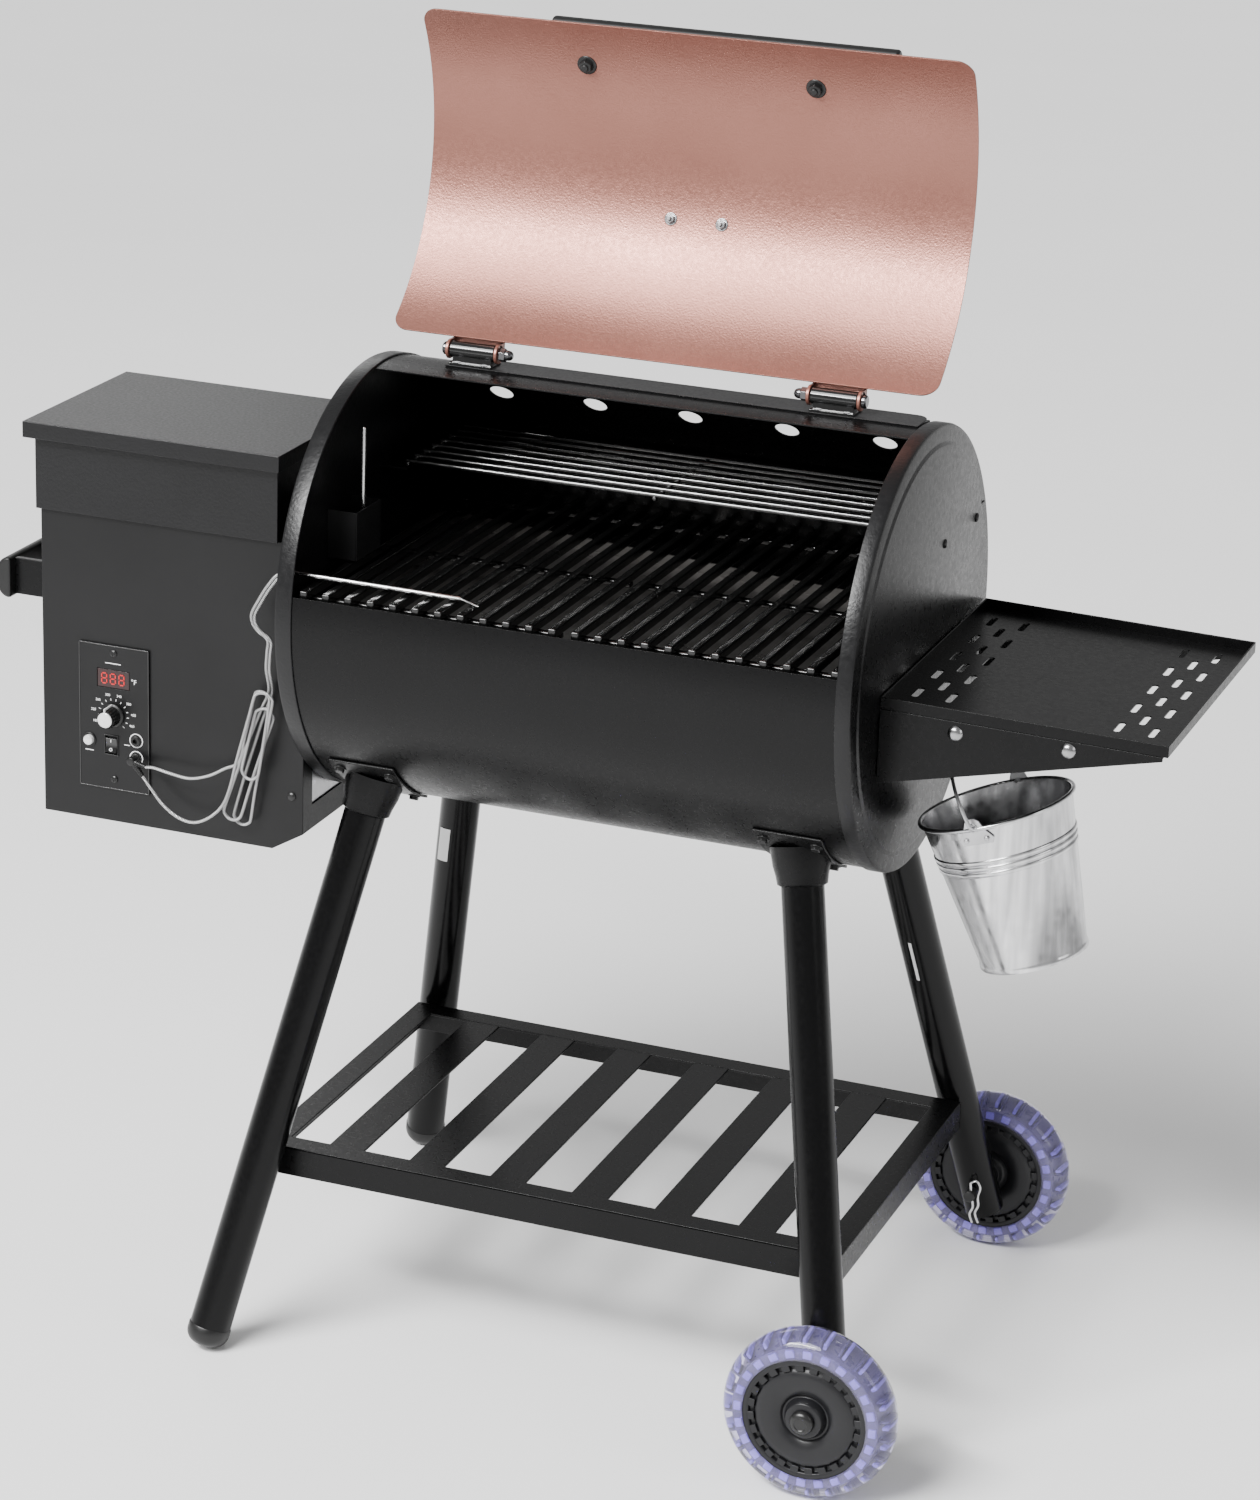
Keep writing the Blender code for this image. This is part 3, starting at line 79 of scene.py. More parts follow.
CAMERA_AT = at(1620.19, -3625.38, 1963.62)
CAMERA_AZIMUTH = math.radians(20.53)
CAMERA_ELEVATION = math.radians(19.55)
CAMERA_ROLL = math.radians(1.98)
CAMERA_LENS = 101.945


def make_camera():
    data = bpy.data.cameras.new("camera")
    data.sensor_width = 36.0
    data.lens = CAMERA_LENS
    data.clip_end = 50.0
    camera = bpy.data.objects.new("camera", data)
    bpy.context.scene.collection.objects.link(camera)
    forward = Vector((
        -math.sin(CAMERA_AZIMUTH) * math.cos(CAMERA_ELEVATION),
        math.cos(CAMERA_AZIMUTH) * math.cos(CAMERA_ELEVATION),
        -math.sin(CAMERA_ELEVATION),
    ))
    level = Vector((math.cos(CAMERA_AZIMUTH), math.sin(CAMERA_AZIMUTH), 0))
    upright = level.cross(forward)
    right = level * math.cos(CAMERA_ROLL) + upright * math.sin(CAMERA_ROLL)
    up = upright * math.cos(CAMERA_ROLL) - level * math.sin(CAMERA_ROLL)
    turn = Matrix((right, up, -forward)).transposed().to_4x4()
    camera.matrix_world = Matrix.Translation(CAMERA_AT) @ turn
    bpy.context.scene.camera = camera


make_camera()

# ---------------------------------------------------------------- materials


class Paint:
    """A node material with short helpers for procedural detail."""

    def __init__(self, name, colour, roughness, metallic=0.0, **values):
        self.material = bpy.data.materials.new(name)
        self.material.use_nodes = True
        self.material.diffuse_color = (*colour, 1)
        self.tree = self.material.node_tree
        self.shader = self.tree.nodes["Principled BSDF"]
        self.shader.inputs["Base Color"].default_value = (*colour, 1)
        self.shader.inputs["Roughness"].default_value = roughness
        self.shader.inputs["Metallic"].default_value = metallic
        for key, value in values.items():
            self.shader.inputs[key.replace("_", " ")].default_value = value
        self.coords = self.tree.nodes.new("ShaderNodeTexCoord")
        self.colour = colour
        self.roughness = roughness

    def node(self, kind, **settings):
        made = self.tree.nodes.new("ShaderNode" + kind)
        for key, value in settings.items():
            setattr(made, key, value)
        return made

    def link(self, output, target):
        self.tree.links.new(output, target)

    def noise(self, scale, detail=2.0, stretch=(1, 1, 1), roughness=0.5):
        mapping = self.node("Mapping")
        mapping.inputs["Scale"].default_value = stretch
        self.link(self.coords.outputs["Object"], mapping.inputs["Vector"])
        noise = self.node("TexNoise")
        noise.inputs["Scale"].default_value = scale
        noise.inputs["Detail"].default_value = detail
        noise.inputs["Roughness"].default_value = roughness
        self.link(mapping.outputs["Vector"], noise.inputs["Vector"])
        return noise.outputs["Fac"]

    def spread(self, value, low, high, start=0.3, end=0.7):
        ranged = self.node("MapRange")
        ranged.inputs["From Min"].default_value = start
        ranged.inputs["From Max"].default_value = end
        ranged.inputs["To Min"].default_value = low
        ranged.inputs["To Max"].default_value = high
        self.link(value, ranged.inputs["Value"])
        return ranged.outputs["Result"]

    def vary_colour(self, value, other, start=0.3, end=0.7):
        mix = self.node("Mix", data_type="RGBA")
        mix.inputs["A"].default_value = (*self.colour, 1)
        mix.inputs["B"].default_value = (*other, 1)
        self.link(self.spread(value, 0.0, 1.0, start, end), mix.inputs["Factor"])
        self.link(mix.outputs["Result"], self.shader.inputs["Base Color"])
        return self

    def vary_roughness(self, value, amount, start=0.3, end=0.7):
        result = self.spread(value, self.roughness - amount, self.roughness + amount, start, end)
        self.link(result, self.shader.inputs["Roughness"])
        return self

    def bump(self, value, distance, strength=1.0):
        bump = self.node("Bump")
        bump.inputs["Distance"].default_value = distance
        bump.inputs["Strength"].default_value = strength
        self.link(value, bump.inputs["Height"])
        previous = self.shader.inputs["Normal"]
        if previous.is_linked:
            self.link(previous.links[0].from_socket, bump.inputs["Normal"])
        self.link(bump.outputs["Normal"], self.shader.inputs["Normal"])
        return self


def powder_coat(name, colour, roughness, grain, depth, lighter, **values):
    """Powder coat with orange-peel grain and slow changes of sheen."""
    paint = Paint(name, colour, roughness, **values)
    paint.vary_colour(paint.noise(9.0, 3.0), lighter)
    paint.vary_roughness(paint.noise(grain * 0.5, 2.0), 0.05)
    paint.bump(paint.noise(grain, 2.5), depth * MM)
    return paint.material


BLACK = powder_coat(
    "black_coat", (0.0016, 0.0016, 0.0017), 0.30, 420.0, 0.07, (0.0024, 0.0024, 0.0026),
    Specular_IOR_Level=0.18,
)
BLACK_FINE = powder_coat(
    "black_coat_fine", (0.0035, 0.0035, 0.0037), 0.38, 900.0, 0.05, (0.0055, 0.0055, 0.0058),
    Specular_IOR_Level=0.28,
)
BLACK_PEEL = powder_coat(
    "black_coat_peel", (0.0035, 0.0035, 0.0038), 0.34, 330.0, 0.24, (0.0055, 0.0055, 0.006),
    Specular_IOR_Level=0.30,
)
# Lighter grey copy of the black coat: painted sheen, a lighter tone standing for light on black paint (the
# strip under the hinges, the hopper cover's top, the sensor shield).
BLACK_LIT_GREY = powder_coat(
    "black_coat_lit_grey", (0.008, 0.008, 0.0085), 0.42, 700.0, 0.08, (0.012, 0.012, 0.0125),
    Specular_IOR_Level=0.34,
)
COPPER = powder_coat(
    "copper_coat", (0.255, 0.108, 0.082), 0.34, 520.0, 0.24, (0.29, 0.125, 0.096), metallic=0.6
)


def enamel_black():
    """Glossy porcelain enamel on the cooking grates."""
    paint = Paint("grate_enamel", (0.003, 0.003, 0.003), 0.2, Coat_Weight=0.2)
    paint.vary_roughness(paint.noise(60.0, 4.0), 0.08)
    paint.bump(paint.noise(260.0, 3.0), 0.12 * MM)
    return paint.material


def heat_black():
    """Oily black of the firebox plates."""
    paint = Paint("heat_black", (0.006, 0.0055, 0.005), 0.4)
    paint.vary_colour(paint.noise(26.0, 4.0), (0.02, 0.017, 0.014))
    paint.vary_roughness(paint.noise(14.0, 4.0), 0.14)
    paint.bump(paint.noise(380.0, 3.0), 0.1 * MM)
    return paint.material


def tray_steel():
    """Drip tray steel with a dull uneven sheen."""
    paint = Paint("tray_steel", (0.11, 0.105, 0.10), 0.36, 0.8)
    paint.vary_colour(paint.noise(18.0, 3.0), (0.17, 0.165, 0.16))
    paint.vary_roughness(paint.noise(40.0, 4.0), 0.1)
    paint.bump(paint.noise(90.0, 2.0), 0.3 * MM)
    return paint.material


def galvanised(name, colour, other, roughness, stretch, scale):
    """Zinc coating with soft spangle and drawn streaks."""
    paint = Paint(name, colour, roughness, 1.0)
    spangle = paint.node("TexVoronoi")
    spangle.inputs["Scale"].default_value = 85.0
    paint.link(paint.coords.outputs["Object"], spangle.inputs["Vector"])
    streak = paint.noise(scale, 4.0, stretch)
    paint.vary_colour(streak, other)
    paint.vary_roughness(spangle.outputs["Distance"], 0.07, 0.0, 0.6)
    paint.bump(streak, 0.08 * MM)
    return paint.material


def steel(name, colour, roughness, scale, stretch):
    """Bright steel with fine drawn lines."""
    paint = Paint(name, colour, roughness, 1.0)
    lines = paint.noise(scale, 3.0, stretch)
    paint.vary_roughness(lines, 0.06)
    paint.bump(lines, 0.02 * MM)
    return paint.material


def plastic(name, colour, roughness, grain=700.0, depth=0.04, lighter=None, **values):
    paint = Paint(name, colour, roughness, **values)
    paint.vary_colour(paint.noise(40.0, 3.0), lighter or tuple(c * 1.35 for c in colour))
    paint.vary_roughness(paint.noise(120.0, 3.0), 0.05)
    paint.bump(paint.noise(grain, 2.0), depth * MM)
    return paint.material


def braided():
    """Steel braid over the probe leads."""
    paint = Paint("steel_braid", (0.52, 0.52, 0.52), 0.36, 0.55)
    wave = paint.node("TexWave", wave_type="BANDS", bands_direction="DIAGONAL")
    wave.inputs["Scale"].default_value = 260.0
    wave.inputs["Distortion"].default_value = 2.5
    wave.inputs["Detail"].default_value = 1.0
    paint.link(paint.coords.outputs["Object"], wave.inputs["Vector"])
    paint.vary_colour(wave.outputs["Fac"], (0.20, 0.20, 0.20), 0.2, 0.9)
    paint.bump(wave.outputs["Fac"], 0.25 * MM)
    return paint.material


def clear_violet():
    """See-through soft tyre."""
    paint = Paint(
        "violet_clear", (0.66, 0.62, 0.90), 0.07, Transmission_Weight=0.93, IOR=1.22, Coat_Weight=0.5
    )
    paint.vary_colour(paint.noise(70.0, 2.0), (0.76, 0.73, 0.95))
    paint.bump(paint.noise(150.0, 2.0), 0.12 * MM)
    return paint.material


def glowing_red():
    paint = Paint("digit_red", (0.45, 0.012, 0.014), 0.3)
    paint.shader.inputs["Emission Color"].default_value = (1.0, 0.02, 0.03, 1)
    paint.shader.inputs["Emission Strength"].default_value = 0.22
    paint.bump(paint.noise(1500.0), 0.01 * MM)
    return paint.material


ENAMEL = enamel_black()
HEAT = heat_black()
TRAY = tray_steel()
ZINC = galvanised("zinc", (0.50, 0.50, 0.51), (0.64, 0.64, 0.65), 0.30, (1, 1, 0.25), 60.0)
PAIL = galvanised("pail_zinc", (0.42, 0.42, 0.43), (0.82, 0.82, 0.83), 0.19, (5, 5, 0.3), 17.0)
CHROME = steel("hinge_chrome", (0.13, 0.13, 0.135), 0.16, 200.0, (0.3, 4, 4))
WASHER = steel("washer_steel", (0.34, 0.34, 0.345), 0.22, 300.0, (3, 3, 3))
STEEL = steel("bright_steel", (0.68, 0.68, 0.68), 0.24, 300.0, (0.3, 3, 3))
WIRE = steel("rack_wire", (0.17, 0.17, 0.17), 0.22, 300.0, (0.3, 3, 3))
DARK_STEEL = plastic("blackened_steel", (0.012, 0.012, 0.012), 0.32, metallic=0.3)
BLACK_PLASTIC = plastic("black_plastic", (0.005, 0.005, 0.005), 0.38, Specular_IOR_Level=0.4)
GLOSS_BLACK = plastic("gloss_black", (0.003, 0.003, 0.003), 0.16, 300.0, 0.02, Coat_Weight=0.4)
LEG_BLACK = powder_coat(
    "leg_coat", (0.0012, 0.0012, 0.0013), 0.22, 520.0, 0.02, (0.0018, 0.0018, 0.002),
    Specular_IOR_Level=0.18,
)
SILVER = plastic("silver_plastic", (0.74, 0.74, 0.74), 0.26, 900.0, 0.02, (0.82, 0.82, 0.82), metallic=0.35)
HUB = plastic("hub_plastic", (0.006, 0.006, 0.007), 0.36, 500.0, 0.06, Specular_IOR_Level=0.34)
VIOLET = clear_violet()
VIOLET_LUG = plastic("violet_lug", (0.28, 0.22, 0.80), 0.24, 300.0, 0.05, (0.40, 0.34, 0.90))
VIOLET_CORE = plastic("violet_core", (0.075, 0.065, 0.16), 0.3, 300.0, 0.05, (0.13, 0.11, 0.27))
WHITE = plastic("white_print", (0.80, 0.80, 0.80), 0.5, 900.0, 0.02, (0.86, 0.86, 0.86))
LABEL = plastic("label_paper", (0.72, 0.73, 0.72), 0.55, 600.0, 0.03, (0.80, 0.80, 0.80))
WINDOW = plastic("display_window", (0.012, 0.001, 0.0012), 0.16, 600.0, 0.01, (0.02, 0.0012, 0.0014))
DIGIT = glowing_red()
BRAID = braided()

# ---------------------------------------------------------------- mesh helpers


def block(x0, x1, y0, y1, z0, z1):
    bm = bmesh.new()
    bmesh.ops.create_cube(bm, size=1.0)
    low = at(x0, y0, z0)
    high = at(x1, y1, z1)
    for vert in bm.verts:
        vert.co = Vector(low[i] if vert.co[i] < 0 else high[i] for i in range(3))
    return bm


def frame_to(origin, axis, across=None):
    z = Vector(axis).normalized()
    guess = Vector(across) if across else Vector((0, 0, 1))
    if abs(z.dot(guess.normalized())) > 0.999:
        guess = Vector((1, 0, 0))
    x = (guess - z * guess.dot(z)).normalized()
    turn = Matrix((x, z.cross(x), z)).transposed().to_4x4()
    return Matrix.Translation(origin) @ turn


def lathe(profile, origin, axis, steps=96, across=None, closed=True):
    """(radius, height) in millimetres turned about an axis. A zero radius closes with a flat face."""
    bm = bmesh.new()
    place = frame_to(origin, axis, across)
    rings = []
    for radius, height in profile:
        ring = []
        for step in range(steps if radius else 0):
            angle = 2 * math.pi * step / steps
            spot = Vector((radius * math.cos(angle), radius * math.sin(angle), height)) * MM
            ring.append(bm.verts.new(place @ spot))
        rings.append(ring)
    pairs = list(zip(rings, rings[1:] + rings[:1]))
    if not closed:
        pairs = pairs[:-1]
    for first, second in pairs:
        if not first and not second:
            continue
        if not first or not second:
            bm.faces.new(first or second)
            continue
        for step in range(steps):
            after = (step + 1) % steps
            bm.faces.new((first[step], first[after], second[after], second[step]))
    return bm


def rod(start, end, radius, sides=32, edge=0.0, across=None):
    """Round bar with an optional rounded edge at each end."""
    direction = Vector(end) - Vector(start)
    length = direction.length / MM
    profile = [(0, 0)]
    for step in range(5 if edge else 1):
        turn = math.radians(22.5 * step)
        inset = edge * (1 - math.sin(turn)) if edge else 0.0
        profile.append((radius - inset, edge * (1 - math.cos(turn)) if edge else 0.0))
    for radius_end, height in reversed(profile[1:]):
        profile.append((radius_end, length - height))
    profile.append((0, length))
    return lathe(profile, start, direction, sides, across)


def pipe(start, end, outer, inner, sides=48, across=None):
    direction = Vector(end) - Vector(start)
    length = direction.length / MM
    return lathe([(inner, 0), (outer, 0), (outer, length), (inner, length)], start, direction, sides, across)


def prism(outline, low, high, plane):
    bm = bmesh.new()
    rows = ([], [])
    for a, b in outline:
        for row, c in zip(rows, (low, high)):
            spot = {"xz": (a, c, b), "yz": (c, a, b), "xy": (a, b, c)}[plane]
            row.append(bm.verts.new(at(*spot)))
    bm.faces.new(rows[0])
    bm.faces.new(list(reversed(rows[1])))
    for i in range(len(outline)):
        j = (i + 1) % len(outline)
        bm.faces.new((rows[0][i], rows[1][i], rows[1][j], rows[0][j]))
    return bm


def sweep(path, radius, sides=16, radii=None):
    """Round rod along points, its ends closed."""
    bm = bmesh.new()
    rings = []
    across = None
    for i, spot in enumerate(path):
        along = (path[min(i + 1, len(path) - 1)] - path[max(i - 1, 0)]).normalized()
        if across is None:
            across = along.orthogonal().normalized()
        across = (across - along * across.dot(along)).normalized()
        other = along.cross(across)
        reach = (radii[i] if radii else radius) * MM
        ring = []
        for step in range(sides):
            angle = 2 * math.pi * step / sides
            ring.append(bm.verts.new(spot + (across * math.cos(angle) + other * math.sin(angle)) * reach))
        rings.append(ring)
    for first, second in zip(rings, rings[1:]):
        for step in range(sides):
            after = (step + 1) % sides
            bm.faces.new((first[step], first[after], second[after], second[step]))
    bm.faces.new(list(reversed(rings[0])))
    bm.faces.new(rings[-1])
    return bm


def smooth_route(points, samples):
    """Catmull-Rom curve through points, evenly resampled."""
    spots = [Vector(p) for p in points]
    padded = [spots[0] * 2 - spots[1]] + spots + [spots[-1] * 2 - spots[-2]]
    dense = []
    for i in range(1, len(padded) - 2):
        a, b, c, d = padded[i - 1:i + 3]
        for step in range(24):
            t = step / 24
            slope = (c - a) * t + (2 * a - 5 * b + 4 * c - d) * t ** 2 + (3 * b - a - 3 * c + d) * t ** 3
            dense.append(0.5 * (2 * b + slope))
    dense.append(spots[-1])
    lengths = [0.0]
    for a, b in zip(dense, dense[1:]):
        lengths.append(lengths[-1] + (b - a).length)
    out = []
    j = 0
    for i in range(samples):
        goal = lengths[-1] * i / (samples - 1)
        while j < len(lengths) - 2 and lengths[j + 1] < goal:
            j += 1
        span = lengths[j + 1] - lengths[j]
        share = (goal - lengths[j]) / span if span else 0.0
        out.append(dense[j].lerp(dense[j + 1], min(max(share, 0.0), 1.0)))
    return out


def merged(*parts):
    """One bmesh holding all the given ones."""
    whole = bmesh.new()
    for part in parts:
        mesh = bpy.data.meshes.new("part")
        part.to_mesh(mesh)
        part.free()
        whole.from_mesh(mesh)
        bpy.data.meshes.remove(mesh)
    return whole


def on_circle(radius, degrees, centre_y=0.0, centre_z=AXIS_Z):
    angle = math.radians(degrees)
    return centre_y + radius * math.cos(angle), centre_z + radius * math.sin(angle)


def arc_sheet(x0, x1, inner, outer, low, high, steps, centre_y=0.0, centre_z=AXIS_Z):
    """Curved sheet between two radii and two angles."""
    bm = bmesh.new()
    rows = []
    for step in range(steps + 1):
        angle = low + (high - low) * step / steps
        row = []
        for radius in (inner, outer):
            y, z = on_circle(radius, angle, centre_y, centre_z)
            row += [bm.verts.new(at(x0, y, z)), bm.verts.new(at(x1, y, z))]
        rows.append(row)
    for a, b in zip(rows, rows[1:]):
        bm.faces.new((a[0], a[1], b[1], b[0]))
        bm.faces.new((a[2], b[2], b[3], a[3]))
        bm.faces.new((a[0], b[0], b[2], a[2]))
        bm.faces.new((a[1], a[3], b[3], b[1]))
    for row in (rows[0], rows[-1]):
        bm.faces.new((row[0], row[2], row[3], row[1]))
    return bm


def apply_modifiers(obj):
    bpy.context.view_layer.update()
    graph = bpy.context.evaluated_depsgraph_get()
    before = obj.data
    name = before.name
    final = bpy.data.meshes.new_from_object(obj.evaluated_get(graph))
    obj.modifiers.clear()
    obj.data = final
    bpy.data.meshes.remove(before)
    final.name = name


def piece(name, bm, material, body=GRILL, stands_for=(), bevel=0.0, cuts=(), sharp=34):
    """Finishes a bmesh as an object that rides on a body."""
    bmesh.ops.recalc_face_normals(bm, faces=bm.faces)
    mesh = bpy.data.meshes.new(name)
    bm.to_mesh(mesh)
    bm.free()
    obj = bpy.data.objects.new(name, mesh)
    bpy.context.scene.collection.objects.link(obj)
    mesh.materials.append(material)
    helpers = []
    for cutter in cuts:
        bmesh.ops.recalc_face_normals(cutter, faces=cutter.faces)
        helper_mesh = bpy.data.meshes.new("cutter")
        cutter.to_mesh(helper_mesh)
        cutter.free()
        helper = bpy.data.objects.new("cutter", helper_mesh)
        bpy.context.scene.collection.objects.link(helper)
        modifier = obj.modifiers.new("cut", "BOOLEAN")
        modifier.operation = "DIFFERENCE"
        modifier.solver = "EXACT"
        modifier.object = helper
        helpers.append(helper)
    if bevel:
        modifier = obj.modifiers.new("bevel", "BEVEL")
        modifier.width = bevel * MM
        modifier.segments = 3
        modifier.limit_method = "ANGLE"
        modifier.angle_limit = math.radians(sharp)
    if obj.modifiers:
        apply_modifiers(obj)
    for helper in helpers:
        helper_mesh = helper.data
        bpy.data.objects.remove(helper)
        bpy.data.meshes.remove(helper_mesh)
    obj.data.shade_smooth()
    obj.data.set_sharp_from_angle(angle=math.radians(sharp))
    if bevel:
        modifier = obj.modifiers.new("flat_faces", "WEIGHTED_NORMAL")
        modifier.weight = 90
        modifier.keep_sharp = True
        apply_modifiers(obj)
    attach(obj, body)
    if stands_for:
        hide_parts(*stands_for)
    return obj


def repaint(material, *nodes):
    """Gives CAD nodes a better material."""
    for node in nodes:
        mesh = frame["nodes"][node].data
        if not mesh.materials:
            mesh.materials.append(material)
        for i in range(len(mesh.materials)):
            mesh.materials[i] = material


# ---------------------------------------------------------------- probe leads

LEAD = 3.0
PANEL_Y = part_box("control_panel")[0].y / MM + 3.2


def lead(name, points, samples):
    """Round lead on a smooth route, with its length."""
    data = bpy.data.curves.new(name, "CURVE")
    data.dimensions = "3D"
    data.bevel_depth = LEAD * MM / 2
    data.bevel_resolution = 4
    data.use_fill_caps = True
    spline = data.splines.new("POLY")
    spots = smooth_route(points, samples)
    spline.points.add(len(spots) - 1)
    for control, spot in zip(spline.points, spots):
        control.co = (*spot, 1)
    spline.use_smooth = True
    obj = bpy.data.objects.new(name, data)
    bpy.context.scene.collection.objects.link(obj)
    data.materials.append(BRAID)
    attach(obj, GRILL)
    length = sum((b - a).length for a, b in zip(spots, spots[1:]))
    return obj, length


HANK_PATH = (
    (-85.0, 505.0), (-79.0, 535.0), (-71.0, 570.0), (-62.0, 605.0), (-54.0, 635.0), (-49.0, 658.0),
)
HANK_Y = -157.5
HANK_LENGTH = 157.0
STRAND_STEP = 0.14
FOLD_DEGREES = (30, 60, 90, 120, 150)
UPPER_EXIT = (-180.4, -157.1, 550.9)
LOWER_EXIT = (-183.6, -157.2, 540.8)


def in_hank(share, aside, depth):
    """Point in the bundle: share of its length from the bottom, then aside and depth in millimetres."""
    place = share * (len(HANK_PATH) - 1)
    first = min(max(int(place), 0), len(HANK_PATH) - 2)
    (x0, z0), (x1, z1) = HANK_PATH[first], HANK_PATH[first + 1]
    along = Vector((x1 - x0, z1 - z0)).normalized()
    rest = place - first
    x = x0 + (x1 - x0) * rest + along.y * aside
    z = z0 + (z1 - z0) * rest - along.x * aside
    return at(x, HANK_Y + depth, z)


# Strands of each lead in the bundle: share, aside and depth at the start, then the same at the end.
UPPER_STRANDS = (
    ((0.40, -9.5, 2.0), (0.84, -12.0, 4.0)),
    ((0.84, 6.0, -1.0), (0.40, 15.0, -4.5)),
    ((0.40, -3.0, -4.5), (0.72, -5.0, -1.0)),
    ((0.72, 13.0, 2.0), (0.10, 5.0, 1.0)),
    ((0.10, -13.0, -1.0), (0.92, 1.0, 4.0)),
)
LOWER_STRANDS = (
    ((0.26, -9.5, -7.0), (0.86, -8.0, -7.0)),
    ((0.86, 10.0, -3.0), (0.08, 14.0, 4.5)),
    ((0.08, -4.5, 5.5), (0.92, 3.5, 6.5)),
)


def bundle(strands):
    """Points along strands joined by round folds at their ends."""
    spots = []
    for index, (start, end) in enumerate(strands):
        count = max(int(abs(end[0] - start[0]) / STRAND_STEP), 2)
        for step in range(count + 1):
            share = step / count
            spots.append(in_hank(*[a + (b - a) * share for a, b in zip(start, end)]))
        if index + 1 == len(strands):
            break
        after = strands[index + 1][0]
        side = 1 if end[0] > start[0] else -1
        reach = abs(after[1] - end[1]) / 2
        for degrees in FOLD_DEGREES:
            turn = math.radians(degrees)
            aside = (end[1] + after[1]) / 2 + (end[1] - after[1]) / 2 * math.cos(turn)
            depth = end[2] + (after[2] - end[2]) * degrees / 180
            spots.append(in_hank(end[0] + side * reach * math.sin(turn) / HANK_LENGTH, aside, depth))
    return spots


def make_leads():
    """Both probe leads: plug, sagging run, bundle, then up and into the port."""
    port = (
        (-49.5, -160.5, 672.0), (-48.0, -162.0, 690.0), (-47.0, -163.5, 703.0), (-58.0, -166.0, 713.0),
        (-61.0, -169.5, 727.0), (-51.0, -174.5, 745.0), (-39.0, -178.0, 763.0), (-28.0, -178.5, 775.0),
        (-12.0, -178.2, 778.0),
    )
    upper = [
        at(*UPPER_EXIT), at(-171.0, -158.6, 552.4), at(-152.0, -161.0, 550.5),
        at(-130.0, -163.0, 549.5), at(-110.0, -162.0, 555.0), at(-94.0, -159.0, 564.0),
    ]
    upper += bundle(UPPER_STRANDS)
    upper += [at(*spot) for spot in port]
    first, first_length = lead("probe_lead_a", upper, 250)
    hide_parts("probe_cable_upper", "probe_cable_lead", "cable_hank")
    lower = [
        at(*LOWER_EXIT), at(-176.0, -158.6, 533.0), at(-160.0, -161.0, 517.0),
        at(-142.0, -163.0, 507.0), at(-124.0, -164.5, 505.5), at(-107.0, -165.0, 514.0),
        at(-94.0, -164.0, 528.0),
    ]
    lower += bundle(LOWER_STRANDS)
    lower += [at(x + 3.2, y + 0.6, z - 0.8) for x, y, z in port[:-1]]
    lower.append(at(-12.0, -174.8, 776.8))
    second, second_length = lead("probe_lead_b", lower, 220)
    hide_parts("probe_cable_lower")


make_leads()

# ---------------------------------------------------------------- barrel


LIP_ANGLE = 171.9
BAND_ANGLE = 97.8
VENT_ANGLE = 46.6
VENT_FIRST = 60.3
VENT_PITCH = 99.65
VENT_R = 12.0


def make_barrel():
    """Rolled shell with its vents, the strip under the hinges and the grates' ledges."""
    shell = arc_sheet(
        -CAP_LEFT + SHEET + GAP, BARREL_LENGTH + CAP_RIGHT - SHEET - GAP,
        SHELL_R - SHEET, SHELL_R, LIP_ANGLE, 360 + BAND_ANGLE, 190,
    )
    centre = at(0, 0, AXIS_Z)
    vents = []
    for i in range(5):
        y, z = on_circle(SHELL_R, VENT_ANGLE)
        middle = at(VENT_FIRST + i * VENT_PITCH, y, z)
        out = middle - centre
        out.x = 0
        out.normalize()
        vents.append(rod(middle - out * 0.02, middle + out * 0.02, VENT_R, 40, across=(1, 0, 0)))
    piece(
        "barrel", shell, BLACK, stands_for=("barrel_shell",), bevel=0.35, cuts=vents,
        sharp=50,
    )
    strip = [(41, 940.2), (40.5, 943.6), (2, 946.9), (2, 944.6)]
    outline = [(60, 2.5), (60, 41), (520, 41)]
    for step in range(1, 6):
        turn = math.radians(90 - 18 * step)
        outline.append((520 + 13 * math.cos(turn), 28 + 13 * math.sin(turn)))
    outline.append((533, 2.5))
    # The grey plate laid on the barrel's top is painted reflection: its lighter coat stands for the light the
    # barrel top reflects behind the lid.
    plate = prism(outline, 946.0, 947.0, "xy")
    piece("hinge_strip", plate, BLACK_LIT_GREY, bevel=0.3)
    edge = prism(strip, 60, 533, "yz")
    piece("hinge_strip_edge", edge, BLACK, bevel=0.3)
    ledges = merged(*[block(4, 531, y0, y1, 753.5, 755.0) for y0, y1 in ((-208.6, -190.0), (190.0, 208.6))])
    piece("grate_ledges", ledges, HEAT, bevel=0.3)


